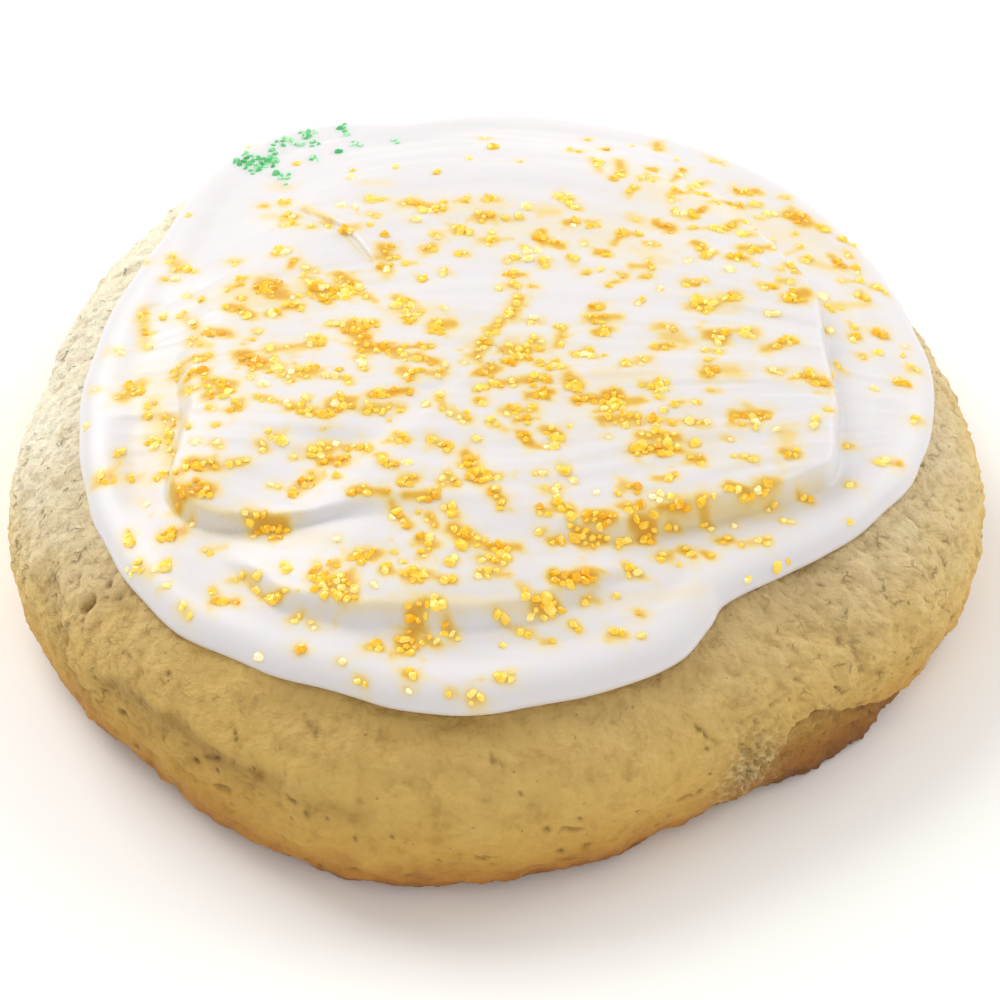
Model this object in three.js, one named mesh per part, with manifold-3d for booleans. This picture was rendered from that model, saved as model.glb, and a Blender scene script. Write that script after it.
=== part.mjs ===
// An iced sugar cookie: a soft round biscuit, a spread of white icing on it, and coarse sugar on the icing.
// Millimetres and degrees, +Z up. Angles run counter-clockwise from +X, and the front of the biscuit is -Y.

import * as THREE from 'three';
import { mergeVertices } from 'three/addons/utils/BufferGeometryUtils.js';
import { ImprovedNoise } from 'three/addons/math/ImprovedNoise.js';
import Module from 'manifold-3d';

// Biscuit: half its width, the height of its flat top, of its widest line, and how far its foot tucks in
const BISCUIT_RADIUS = 45;
const CROWN_HEIGHT = 18.5;
const BELLY_HEIGHT = 8;
const FOOT_INSET = 3.5;
const SHOULDER_SQUARENESS = 3.2;

// The dough spread unevenly: lobes round the rim, how far they swell, and where one of them points
const SWELLS = [
  { lobes: 2, swell: 1.1, towards: 77 },
  { lobes: 3, swell: 1.2, towards: -4 },
  { lobes: 5, swell: 1.0, towards: -22 },
];
const REAR_BULGE = { towards: 158, halfWidth: 16, swell: 1.0 };

// A fold pressed into the front left of the wall: its stretch of bearings, height, depth and half-width
const FOLD = { from: 194, to: 268, fade: 24, height: 10.6, depth: 1.2, band: 1.0 };
// The notch low on the front right, where the wall stands back under a lip, given as [bearing, height].
// Its foot spreads out below.
const NOTCH = { from: 303, to: 332, fade: 5, depth: 1.5, lipRun: 1.0, footSpread: 1.3, footHeight: 3.2 };
const NOTCH_LIP = [
  [303, 4.0], [306, 6.5], [308.5, 9.2], [311, 9.8], [314, 8.4], [318, 6.2], [322, 4.4], [332, 3.0],
];
// Crumb lumps: how wide one lump is and how far it stands out
const LUMPS = [
  { width: 13, relief: 0.75 },
  { width: 5, relief: 0.35 },
];
// Pits in the wall: bearing, height above the base, half-length, half-height and depth
const PITS = [
  { bearing: 213, height: 12.9, halfLength: 0.6, halfHeight: 0.95, depth: 1.2 },
  { bearing: 215.5, height: 14.2, halfLength: 0.6, halfHeight: 0.4, depth: 0.5 },
];

// Icing: its outline as [bearing, distance from the middle]
const ICING_EDGE = [
  [0, 40.5], [24, 41.5], [60, 43.0], [85, 43.5], [102, 40.5], [116, 45.0], [128, 43.0], [145, 38.2],
  [175, 37.0], [205, 38.1], [223, 38.9], [236, 38.6], [248, 38.2], [265, 38.4], [279, 37.4], [290, 36.4],
  [299, 35.6], [307, 33.9], [316, 33.7], [326, 35.6], [345, 39.0],
];
// The last strokes left a slab in the middle: its outline, and how high it stands at it and in the middle
const SLAB_EDGE = [
  [3, 30.6], [12, 30.9], [21, 31.7], [31, 31.8], [60, 33.0], [90, 33.0], [120, 31.0], [150, 28.0],
  [186, 27.3], [193, 27.7], [200, 29.4], [207, 31.2], [212, 31.4], [217, 30.6], [222, 28.4], [230, 25.3],
  [240, 21.5], [253, 19.3], [275, 20.5], [296, 23.0], [307, 24.1], [314, 25.0], [321, 27.0], [327, 29.0],
  [332, 30.8], [338, 32.3], [346, 31.8], [355, 31.0],
];
const SLAB_STEP = [
  [0, 2.3], [30, 2.0], [60, 1.0], [120, 0.8], [150, 0.9], [180, 1.3], [200, 2.0], [213, 1.9],
  [225, 1.3], [240, 1.0], [262, 0.8], [277, 0.8], [290, 1.0], [303, 1.7], [325, 2.2], [345, 2.3],
];
const SLAB_MIDDLE = 1.9;
const SLAB_MIDDLE_REACH = 20;
// A lower tier lies in front of the slab
const TIER_EDGE = [
  [231, 34.2], [239, 33.0], [247, 32.0], [256, 30.9], [267, 30.1], [279, 29.2], [294, 27.5],
];
const TIER = { from: 215, to: 305, step: 1.5, fade: 18 };
// The spread film, the bead that the blade pushed up along its edge, and the rounded lip
const FILM = 1.4;
const BEAD_RISE = 0.5;
const BEAD_RUN = 3.2;
const LIP = 2.2;
const LIP_WAIST = 0.35;
const UNDERCUT = 0.5;
const STEP_RUN = 1.8;
const GAP = 0.3;

// Sugar: where it fell thickest, as a middle, a run with its heading, a half-width and a count of grains
const DRIFTS = [
  { x: -20.5, y: 10.3, run: 8, heading: -8, spread: 1.9, grains: 7 },
  { x: -12, y: 10, run: 4, heading: -55, spread: 0.6, grains: 2 },
  { x: -9.5, y: 2.6, run: 8, heading: -25, spread: 0.8, grains: 5 },
  { x: -4.3, y: 4.8, run: 1, heading: 0, spread: 0.7, grains: 2 },
  { x: -22, y: 0.6, run: 8, heading: 5, spread: 1.3, grains: 4 },
  { x: -30, y: -1.5, run: 8, heading: -20, spread: 1.4, grains: 3 },
  { x: -12, y: -5.6, run: 10, heading: 5, spread: 0.9, grains: 6 },
  { x: -13, y: -11.5, run: 6, heading: 0, spread: 1.3, grains: 4 },
  { x: -29, y: -13, run: 8, heading: -25, spread: 1.0, grains: 4 },
  { x: -8, y: -17, run: 12, heading: -8, spread: 1.6, grains: 5 },
  { x: -1.5, y: -14, run: 4, heading: 90, spread: 0.8, grains: 2 },
  { x: -21, y: -20, run: 12, heading: -4, spread: 1.2, grains: 3 },
  { x: -13, y: -26, run: 8, heading: -50, spread: 1.3, grains: 4 },
  { x: -19, y: -26.6, run: 8, heading: -10, spread: 0.8, grains: 2 },
  { x: -5.6, y: -31.5, run: 4, heading: 70, spread: 1.3, grains: 4 },
  { x: 3.5, y: -30.5, run: 5, heading: 30, spread: 0.8, grains: 2 },
  { x: 9.5, y: -20, run: 9, heading: 5, spread: 1.3, grains: 6 },
  { x: 0, y: -24.5, run: 6, heading: -20, spread: 1.3, grains: 2 },
  { x: 20, y: -21.5, run: 9, heading: 18, spread: 0.9, grains: 2 },
  { x: 23.5, y: -7, run: 3, heading: -20, spread: 1.2, grains: 2 },
  { x: 28.5, y: -1, run: 4, heading: 0, spread: 0.6, grains: 2 },
  { x: 13, y: -5.6, run: 8, heading: -12, spread: 1.1, grains: 4 },
  { x: 15, y: -10.6, run: 6, heading: 0, spread: 1.3, grains: 3 },
  { x: 3.6, y: -3, run: 7, heading: 5, spread: 0.7, grains: 3 },
  { x: 3.5, y: -8.5, run: 5, heading: -50, spread: 1.1, grains: 2 },
  { x: 1.6, y: 1.2, run: 5, heading: 0, spread: 1.4, grains: 3 },
  { x: 2, y: 6.5, run: 8, heading: 70, spread: 0.8, grains: 3 },
  { x: 10, y: 5.5, run: 3, heading: 80, spread: 0.9, grains: 2 },
  { x: 20, y: 6, run: 10, heading: 40, spread: 1.1, grains: 3 },
  { x: 28, y: 11, run: 3, heading: 10, spread: 1.0, grains: 2 },
  { x: 13.4, y: 12.6, run: 3, heading: 30, spread: 1.1, grains: 2 },
  { x: 23, y: 21.5, run: 10, heading: 20, spread: 2.6, grains: 6 },
  { x: 24, y: 26, run: 12, heading: -10, spread: 1.8, grains: 4 },
  { x: 5, y: 16.5, run: 8, heading: -5, spread: 1.5, grains: 3 },
  { x: -3, y: 22.5, run: 10, heading: 0, spread: 1.4, grains: 3 },
  { x: -18, y: 17, run: 7, heading: -80, spread: 1.3, grains: 2 },
  { x: -22.6, y: 42, run: 3, heading: -70, spread: 0.8, grains: 5 },
  { x: -15, y: 43.3, run: 5, heading: 25, spread: 0.8, grains: 2 },
];
const GRAIN_RADIUS = { smallest: 0.55, largest: 0.85 };
const GRAIN_CLEAR_OF_EDGE = 1.6;
const GRAIN_SUNK = 0.25;
const SEED = 29;

// Mesh fineness: steps round the biscuit, and the rows of each stretch of a profile
const SIDES = 84;
const ROWS_UNDER_ICING = 6;
const ROWS_SHOULDER = 7;
const ROWS_FOOT = 6;
const BASE_ROWS = [0.93, 0.5];

const rad = THREE.MathUtils.degToRad;
const { clamp, lerp, smoothstep } = THREE.MathUtils;
const noise = new ImprovedNoise();

// A smooth closed curve through [bearing, value] pairs
function ring(pairs, bearing) {
  const count = pairs.length;
  const at = (i) => pairs[(i + count) % count];
  const turn = (from, to) => (((to - from) % 360) + 360) % 360;
  const passed = pairs.map((pair) => turn(pair[0], bearing));
  const i = passed.indexOf(Math.min(...passed));
  const span = turn(at(i)[0], at(i + 1)[0]);
  const f = turn(at(i)[0], bearing) / span;
  const slopeIn = ((at(i + 1)[1] - at(i - 1)[1]) * span) / (span + turn(at(i - 1)[0], at(i)[0]));
  const slopeOut = ((at(i + 2)[1] - at(i)[1]) * span) / (span + turn(at(i + 1)[0], at(i + 2)[0]));
  const f2 = f * f;
  const f3 = f2 * f;
  const start = (2 * f3 - 3 * f2 + 1) * at(i)[1] + (f3 - 2 * f2 + f) * slopeIn;
  return start + (3 * f2 - 2 * f3) * at(i + 1)[1] + (f3 - f2) * slopeOut;
}

// 1 inside a stretch of bearings, 0 outside it, with soft ends
function stretch(bearing, from, to, fade) {
  return smoothstep(bearing, from, from + fade) * (1 - smoothstep(bearing, to - fade, to));
}

function reach(bearing) {
  const offBulge = (bearing - REAR_BULGE.towards) / REAR_BULGE.halfWidth;
  const bulge = REAR_BULGE.swell * Math.exp(-offBulge * offBulge);
  return SWELLS.reduce((sum, { lobes, swell, towards }) => (
    sum + swell * Math.cos(rad(lobes * (bearing - towards)))), BISCUIT_RADIUS + bulge);
}

// The biscuit's profile: way runs 0 at the crown, 1 at the widest line, 2 at the foot
function profile(bearing, way) {
  const r = reach(bearing);
  const down = rad(90) * clamp(way - 1, 0, 1);
  const over = rad(90) * Math.min(way, 1);
  const shoulder = r * Math.sin(over) ** (2 / SHOULDER_SQUARENESS);
  const rho = way <= 1 ? shoulder : r - FOOT_INSET * (1 - Math.cos(down));
  const rise = way <= 1 ? (CROWN_HEIGHT - BELLY_HEIGHT) * Math.cos(over) : -BELLY_HEIGHT * Math.sin(down);
  return new THREE.Vector3(rho * Math.cos(rad(bearing)), rho * Math.sin(rad(bearing)), BELLY_HEIGHT + rise);
}

// The way along the profile that lies a given distance out from the middle
function wayAt(bearing, rho) {
  return Math.asin(clamp(rho / reach(bearing), 0, 1) ** (SHOULDER_SQUARENESS / 2)) / rad(90);
}

function outward(bearing, way) {
  const small = 0.02;
  const along = profile(bearing, way + small).sub(profile(bearing, Math.max(way - small, 0.001)));
  const tilt = Math.atan2(-along.z, along.x * Math.cos(rad(bearing)) + along.y * Math.sin(rad(bearing)));
  const flat = Math.sin(tilt);
  return new THREE.Vector3(flat * Math.cos(rad(bearing)), flat * Math.sin(rad(bearing)), Math.cos(tilt));
}

function foldDepth(bearing, height) {
  const off = (height - FOLD.height) / FOLD.band;
  return FOLD.depth * stretch(bearing, FOLD.from, FOLD.to, FOLD.fade) * Math.exp(-off * off);
}

function notchDepth(bearing, height) {
  const after = NOTCH_LIP.findIndex(([at]) => at > bearing);
  if (after < 1) return 0;
  const [[from, low], [to, high]] = [NOTCH_LIP[after - 1], NOTCH_LIP[after]];
  const lip = lerp(low, high, (bearing - from) / (to - from));
  const under = 1 - smoothstep(height, lip - NOTCH.lipRun, lip);
  return NOTCH.depth * stretch(bearing, NOTCH.from, NOTCH.to, NOTCH.fade) * under;
}

function footSpread(bearing, height) {
  const low = 1 - smoothstep(height, 0, NOTCH.footHeight);
  return NOTCH.footSpread * stretch(bearing, NOTCH.from, NOTCH.to, NOTCH.fade) * low;
}

// The biscuit's real surface: the profile with its fold, its notch and crumb lumps
function biscuitPoint(bearing, way) {
  const point = profile(bearing, way);
  const hollow = foldDepth(bearing, point.z) + notchDepth(bearing, point.z);
  const lumps = LUMPS.reduce((sum, { width, relief }) => (
    sum + relief * noise.noise(point.x / width, point.y / width, point.z / width)), 0);
  const wall = smoothstep(way, 0.45, 0.8) * (1 - smoothstep(way, 1.85, 2));
  point.addScaledVector(outward(bearing, way), (lumps - hollow) * wall);
  point.addScaledVector(new THREE.Vector3(Math.cos(rad(bearing)), Math.sin(rad(bearing)), 0),
    way > 1 ? footSpread(bearing, point.z) : 0);
  return point.setZ(Math.max(point.z, 0));
}

// A point above the biscuit's smooth surface, square to it
function above(bearing, rho, height) {
  const way = wayAt(bearing, rho);
  return profile(bearing, way).addScaledVector(outward(bearing, way), height);
}

function tierEdge(bearing) {
  const slab = ring(SLAB_EDGE, bearing);
  const bead = ring(ICING_EDGE, bearing) - LIP - BEAD_RUN;
  const strength = stretch(bearing, TIER.from, TIER.to, TIER.fade);
  const edge = lerp((slab + bead) / 2, ring(TIER_EDGE, bearing), strength);
  return clamp(edge, slab + STEP_RUN, bead - STEP_RUN / 2);
}

// How thick the icing is at a distance from the middle
function icingHeight(bearing, rho) {
  const slabFoot = ring(SLAB_EDGE, bearing) + STEP_RUN / 2;
  const tierFoot = tierEdge(bearing) + STEP_RUN / 2;
  const lipStart = ring(ICING_EDGE, bearing) - LIP;
  const level = lerp(SLAB_MIDDLE, ring(SLAB_STEP, bearing), smoothstep(rho, 0, SLAB_MIDDLE_REACH));
  const slab = level * (1 - smoothstep(rho, slabFoot - STEP_RUN, slabFoot));
  const tierAngle = stretch(bearing, TIER.from, TIER.to, TIER.fade) * smoothstep(rho, 0, SLAB_MIDDLE_REACH);
  const tier = TIER.step * tierAngle;
  const bead = BEAD_RISE * smoothstep(rho, lipStart - BEAD_RUN, lipStart);
  return FILM + slab + tier * (1 - smoothstep(rho, tierFoot - STEP_RUN, tierFoot)) + bead;
}

// A closed skin from rows of points, each row once round, between a first and a last pole
function closedSkin(firstPole, rows, lastPole) {
  const points = [firstPole, ...rows.flat(), lastPole];
  const last = points.length - 1;
  const index = [];
  for (let side = 0; side < SIDES; side += 1) {
    const next = (side + 1) % SIDES;
    index.push(0, 1 + side, 1 + next);
    for (let row = 0; row < rows.length - 1; row += 1) {
      const here = 1 + row * SIDES;
      const below = here + SIDES;
      index.push(here + side, below + side, below + next);
      index.push(here + side, below + next, here + next);
    }
    const end = 1 + (rows.length - 1) * SIDES;
    index.push(last, end + next, end + side);
  }
  const geometry = new THREE.BufferGeometry().setFromPoints(points);
  geometry.setIndex(index);
  return geometry;
}

function row(pointAt) {
  return Array.from({ length: SIDES }, (unused, side) => pointAt((360 * side) / SIDES));
}

function rows(count, pointAt) {
  return Array.from({ length: count }, (unused, k) => row((bearing) => pointAt(bearing, (k + 1) / count)));
}

// Where the icing's underside ends, as a way along the profile
function contactWay(bearing) {
  return wayAt(bearing, ring(ICING_EDGE, bearing) - LIP * UNDERCUT);
}

function biscuitSkin() {
  const flat = (share) => row((bearing) => profile(bearing, 2).multiply(new THREE.Vector3(share, share, 0)));
  const skin = [
    ...rows(ROWS_UNDER_ICING, (bearing, f) => biscuitPoint(bearing, f * contactWay(bearing))),
    ...rows(ROWS_SHOULDER, (bearing, f) => biscuitPoint(bearing, lerp(contactWay(bearing), 1, f))),
    ...rows(ROWS_FOOT, (bearing, f) => biscuitPoint(bearing, 1 + f)),
    ...BASE_ROWS.map(flat),
  ];
  return closedSkin(new THREE.Vector3(0, 0, CROWN_HEIGHT), skin, new THREE.Vector3(0, 0, 0));
}

// The distances from the middle that the icing's top rows follow: the slab, its step, the tier's, the bead
function icingStations(bearing) {
  const slab = ring(SLAB_EDGE, bearing);
  const tier = tierEdge(bearing);
  const lipStart = ring(ICING_EDGE, bearing) - LIP;
  const half = STEP_RUN / 2;
  return [
    slab * 0.3, slab * 0.6, slab * 0.84, slab - half, slab - half / 3, slab + half / 3, slab + half,
    tier - half * 0.9, tier, tier + half * 0.9, lipStart - BEAD_RUN, lipStart - BEAD_RUN / 2, lipStart,
  ];
}

// The rounded lip, from its top round its nose to where it meets the biscuit
function lipPoint(bearing, turn) {
  const edge = ring(ICING_EDGE, bearing);
  const thick = icingHeight(bearing, edge - LIP);
  const waist = GAP + thick * LIP_WAIST;
  const upper = turn >= 0;
  const rise = upper ? thick * (1 - LIP_WAIST) : thick * LIP_WAIST;
  const run = upper ? LIP : LIP * UNDERCUT;
  return above(bearing, edge - run * (1 - Math.cos(rad(turn))), waist + rise * Math.sin(rad(turn)));
}

function icingSkin() {
  const top = icingStations(0).map((unused, k) => row((bearing) => {
    const rho = icingStations(bearing)[k];
    return above(bearing, rho, GAP + icingHeight(bearing, rho));
  }));
  const lip = [72, 54, 36, 18, 0, -45].map((turn) => row((bearing) => lipPoint(bearing, turn)));
  const under = rows(ROWS_UNDER_ICING, (bearing, f) => {
    const way = f * contactWay(bearing);
    return biscuitPoint(bearing, way).addScaledVector(outward(bearing, way), GAP);
  }).reverse();
  const crown = new THREE.Vector3(0, 0, CROWN_HEIGHT + GAP + icingHeight(0, 0));
  return closedSkin(crown, [...top, ...lip, ...under], new THREE.Vector3(0, 0, CROWN_HEIGHT + GAP));
}

// A repeatable draw of numbers between 0 and 1
function makeDraw(seed) {
  let state = seed;
  return () => {
    state = (state * 16807) % 2147483647;
    return state / 2147483647;
  };
}

// One sugar grain: a twenty-sided lump with uneven corners
function grain(draw) {
  const lump = new THREE.IcosahedronGeometry(1, 0);
  lump.deleteAttribute('normal');
  lump.deleteAttribute('uv');
  const merged = mergeVertices(lump, 1e-3);
  const corner = merged.getAttribute('position');
  for (let i = 0; i < corner.count; i += 1) {
    const stretchBy = 0.75 + 0.4 * draw();
    corner.setXYZ(i, corner.getX(i) * stretchBy, corner.getY(i) * stretchBy, corner.getZ(i) * stretchBy);
  }
  const turn = new THREE.Euler(6 * draw(), 6 * draw(), 6 * draw());
  merged.applyMatrix4(new THREE.Matrix4().makeRotationFromEuler(turn));
  const radius = lerp(GRAIN_RADIUS.smallest, GRAIN_RADIUS.largest, draw());
  return { geometry: merged.scale(radius, radius, radius), radius };
}

// Two draws make a spread that is thickest in the middle
function heaped(draw) {
  return draw() + draw() - 1;
}

function sugarGrains() {
  const draw = makeDraw(SEED);
  return DRIFTS.flatMap(({ x, y, run, heading, spread, grains }) => Array.from({ length: grains }, () => {
    const along = run * (draw() - 0.5);
    const across = 2 * spread * heaped(draw);
    const px = x + along * Math.cos(rad(heading)) - across * Math.sin(rad(heading));
    const py = y + along * Math.sin(rad(heading)) + across * Math.cos(rad(heading));
    const bearing = (THREE.MathUtils.radToDeg(Math.atan2(py, px)) + 360) % 360;
    const rho = Math.min(Math.hypot(px, py), ring(ICING_EDGE, bearing) - LIP - GRAIN_CLEAR_OF_EDGE);
    const { geometry, radius } = grain(draw);
    const seat = above(bearing, rho, GAP + icingHeight(bearing, rho) + radius * GRAIN_SUNK);
    return geometry.translate(seat.x, seat.y, seat.z);
  }));
}

const wasm = await Module();
wasm.setup();

function toSolid(geometry) {
  return new wasm.Manifold(new wasm.Mesh({
    numProp: 3,
    vertProperties: new Float32Array(geometry.getAttribute('position').array),
    triVerts: new Uint32Array(geometry.index.array),
  }));
}

function toGeometry(solid) {
  const { vertProperties, triVerts } = solid.getMesh();
  const geometry = new THREE.BufferGeometry();
  geometry.setAttribute('position', new THREE.BufferAttribute(new Float32Array(vertProperties), 3));
  geometry.setIndex(new THREE.BufferAttribute(new Uint32Array(triVerts), 1));
  return geometry;
}

// A pit as a low-sided egg set into the wall
function pit({ bearing, height, halfLength, halfHeight, depth }) {
  const egg = new THREE.IcosahedronGeometry(1, 1);
  egg.deleteAttribute('normal');
  egg.deleteAttribute('uv');
  const merged = mergeVertices(egg, 1e-3);
  const way = Math.acos((height - BELLY_HEIGHT) / (CROWN_HEIGHT - BELLY_HEIGHT)) / rad(90);
  const wall = biscuitPoint(bearing, way);
  merged.scale(depth, halfLength, halfHeight);
  merged.rotateZ(rad(bearing));
  return merged.translate(wall.x, wall.y, wall.z);
}

function makeBiscuit() {
  const solid = PITS.reduce((body, spot) => body.subtract(toSolid(pit(spot))), toSolid(biscuitSkin()));
  const baked = new THREE.MeshStandardMaterial({ color: 0xc9a86a, roughness: 0.9, metalness: 0 });
  const mesh = new THREE.Mesh(toGeometry(solid), baked);
  mesh.name = 'biscuit';
  return mesh;
}

function makeIcing() {
  const solid = sugarGrains().reduce((body, lump) => body.add(toSolid(lump)), toSolid(icingSkin()));
  const sugarWhite = new THREE.MeshStandardMaterial({ color: 0xf6f1ec, roughness: 0.35, metalness: 0 });
  const mesh = new THREE.Mesh(toGeometry(solid), sugarWhite);
  mesh.name = 'icing';
  return mesh;
}

const cookie = new THREE.Group();
const biscuit = makeBiscuit();
cookie.add(biscuit, makeIcing());

// The origin lies on the base, under the middle of the biscuit's length and width
biscuit.geometry.computeBoundingBox();
const middle = biscuit.geometry.boundingBox.getCenter(new THREE.Vector3());
cookie.position.set(-middle.x, -middle.y, 0);

export default cookie;
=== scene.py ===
import math

import bpy
import numpy as np
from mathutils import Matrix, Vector, kdtree


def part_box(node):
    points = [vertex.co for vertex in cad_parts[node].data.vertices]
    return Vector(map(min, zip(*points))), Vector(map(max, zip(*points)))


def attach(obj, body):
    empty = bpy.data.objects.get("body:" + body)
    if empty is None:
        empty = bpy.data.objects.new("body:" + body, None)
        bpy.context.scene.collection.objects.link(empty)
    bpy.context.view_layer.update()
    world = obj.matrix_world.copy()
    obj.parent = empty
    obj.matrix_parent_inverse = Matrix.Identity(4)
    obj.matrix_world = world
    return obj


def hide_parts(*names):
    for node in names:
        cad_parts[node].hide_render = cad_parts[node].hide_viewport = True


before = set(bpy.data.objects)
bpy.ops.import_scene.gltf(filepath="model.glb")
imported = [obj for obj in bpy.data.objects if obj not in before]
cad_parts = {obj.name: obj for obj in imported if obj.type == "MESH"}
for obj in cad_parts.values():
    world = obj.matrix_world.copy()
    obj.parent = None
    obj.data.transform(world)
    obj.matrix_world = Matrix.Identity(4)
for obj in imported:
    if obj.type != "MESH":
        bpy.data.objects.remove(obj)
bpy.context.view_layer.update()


# Its colour also holds painted light, paler on the back left, and painted shade in its hollows and under
# the icing.
# The biscuit
# One soft round of sugar-cookie dough that spread and rose in the oven, flat and browned underneath.
# Its wall is matt crumb, pale on the shoulder and golden lower down, with folds, pores and short cracks.
# All places on the cookie are in millimetres, and bearings in degrees, counter-clockwise from +X.
MM = 0.001
BISCUIT_RADIUS = 45.0
CROWN_HEIGHT = 18.5
BELLY_HEIGHT = 8.0
FOOT_INSET = 3.5
SHOULDER_SQUARENESS = 3.2
# Swells of the outline: lobes round the rim, how far they swell, the bearing of one lobe
SWELLS = [(2, 1.1, 77.0), (3, 1.2, -4.0), (5, 1.0, -22.0)]
REAR_BULGE = (158.0, 16.0, 1.0)
# The icing's outline as bearing and distance from the middle, which the biscuit's rings follow
ICING_EDGE = [
    (0, 40.5), (24, 41.5), (60, 43.0), (85, 43.5), (102, 40.5), (116, 45.0), (128, 43.0), (145, 38.2),
    (175, 37.0), (205, 38.1), (223, 38.9), (236, 38.6), (248, 38.2), (265, 38.4), (279, 37.4), (290, 36.4),
    (298, 35.8), (304, 34.4), (308, 33.2), (316, 33.6), (326, 35.6), (345, 39.0),
]
HIDDEN_MARGIN = 2.5
# The step along the profile over which its slope is taken, and the least way that has a slope
WAY_STEP, WAY_LEAST = 0.02, 0.001


def through(pairs, bearing):
    """A smooth closed curve through (bearing, value) pairs."""
    at = np.array([pair[0] for pair in pairs], float)
    value = np.array([pair[1] for pair in pairs], float)
    count = len(at)
    turn = np.asarray(bearing, float) % 360
    here = (np.searchsorted(at, turn, side="right") - 1) % count
    after, before, beyond = (here + 1) % count, (here - 1) % count, (here + 2) % count
    span = (at[after] - at[here]) % 360
    slope_in = (value[after] - value[before]) * span / (span + (at[here] - at[before]) % 360)
    slope_out = (value[beyond] - value[here]) * span / (span + (at[beyond] - at[after]) % 360)
    f = ((turn - at[here]) % 360) / span
    start = (2 * f**3 - 3 * f**2 + 1) * value[here] + (f**3 - 2 * f**2 + f) * slope_in
    return start + (3 * f**2 - 2 * f**3) * value[after] + (f**3 - f**2) * slope_out


def ease(value, low, high):
    """0 below low, 1 above high, smooth between them."""
    f = np.clip((value - low) / (high - low), 0, 1)
    return f * f * (3 - 2 * f)


def stretch(bearing, start, end, fade):
    """1 inside a stretch of bearings, 0 outside it, with soft ends."""
    return ease(bearing, start, start + fade) * (1 - ease(bearing, end - fade, end))


def reach(bearing):
    """How far the biscuit's widest line lies from its middle."""
    off_bulge = (bearing - REAR_BULGE[0]) / REAR_BULGE[1]
    radius = BISCUIT_RADIUS + REAR_BULGE[2] * np.exp(-off_bulge**2)
    for lobes, swell, towards in SWELLS:
        radius = radius + swell * np.cos(np.radians(lobes * (bearing - towards)))
    return radius


def placed(bearing, rho, height):
    """Points from a bearing, a distance from the middle and a height."""
    turn = np.radians(bearing)
    return np.stack([rho * np.cos(turn), rho * np.sin(turn), height], axis=-1)


def profile(bearing, way):
    """The biscuit's smooth surface: way is 0 at the crown, 1 at the widest line and 2 at the foot."""
    over = np.minimum(way, 1) * math.pi / 2
    down = np.clip(way - 1, 0, 1) * math.pi / 2
    top = reach(bearing) * np.sin(over) ** (2 / SHOULDER_SQUARENESS)
    rho = np.where(way <= 1, top, reach(bearing) - FOOT_INSET * (1 - np.cos(down)))
    dome = BELLY_HEIGHT + (CROWN_HEIGHT - BELLY_HEIGHT) * np.cos(over)
    height = np.where(way <= 1, dome, BELLY_HEIGHT * (1 - np.sin(down)))
    return placed(bearing, rho, height)


def way_at(bearing, rho):
    """The way along the profile that lies a distance out from the middle."""
    share = np.clip(rho / reach(bearing), 0, 1)
    return np.arcsin(share ** (SHOULDER_SQUARENESS / 2)) * 2 / math.pi


def outward(bearing, way):
    """The direction square to the biscuit's smooth surface."""
    along = profile(bearing, way + WAY_STEP) - profile(bearing, np.maximum(way - WAY_STEP, WAY_LEAST))
    turn = np.radians(bearing)
    run = along[:, 0] * np.cos(turn) + along[:, 1] * np.sin(turn)
    tilt = np.arctan2(-along[:, 2], run)
    return placed(bearing, np.sin(tilt), np.cos(tilt))


HALVINGS = 2
# The noise: how many leans it draws from, how far its octaves lie apart, how strong it is
LEANS, OCTAVE_SHIFT, NOISE_STRENGTH = 256, 17.3, 1.7
shuffle = np.random.RandomState(5).permutation(LEANS)
leans = np.random.RandomState(6).normal(size=(LEANS, 3))
leans /= np.linalg.norm(leans, axis=1)[:, None]


def lumps(points, width, octaves=1):
    """Smooth noise from about -1 to 1 with lumps of a width in millimetres, and finer, weaker octaves."""
    total = np.zeros(len(points))
    for octave in range(octaves):
        spot = points / width * 2.0**octave + OCTAVE_SHIFT * octave
        cell = np.floor(spot).astype(int)
        inside = spot - cell
        fade = inside**3 * (inside * (6 * inside - 15) + 10)
        for corner in np.ndindex(2, 2, 2):
            x, y, z = ((cell + corner) % LEANS).T
            lean = leans[shuffle[(shuffle[(shuffle[x] + y) % LEANS] + z) % LEANS]]
            share = np.where(corner, fade, 1 - fade).prod(axis=1)
            total += NOISE_STRENGTH / 2.0**octave * share * ((inside - corner) * lean).sum(axis=1)
    return total


# Where a mark along a line begins to fade and where it ends, in half-lengths from its middle
FADES_FROM, FADES_TO = 0.8, 1.3


def line_side(x, y, line):
    """How far points lie to the left of a line of points, and 1 beside it fading to 0 past its ends."""
    line = np.array(line, float)
    best = np.full(len(x), np.inf)
    side = np.zeros(len(x))
    for start, end in zip(line[:-1], line[1:]):
        run = end - start
        f = np.clip(((x - start[0]) * run[0] + (y - start[1]) * run[1]) / (run @ run), 0, 1)
        away_x, away_y = x - start[0] - f * run[0], y - start[1] - f * run[1]
        away = np.hypot(away_x, away_y)
        signed = np.sign(run[0] * away_y - run[1] * away_x) * away
        side = np.where(away < best, signed, side)
        best = np.minimum(best, away)
    middle = line.mean(axis=0)
    half = np.hypot(*(line[-1] - line[0])) / 2
    off = np.hypot(x - middle[0], y - middle[1])
    return side, 1 - ease(off, half * FADES_FROM, half * FADES_TO)


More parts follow.
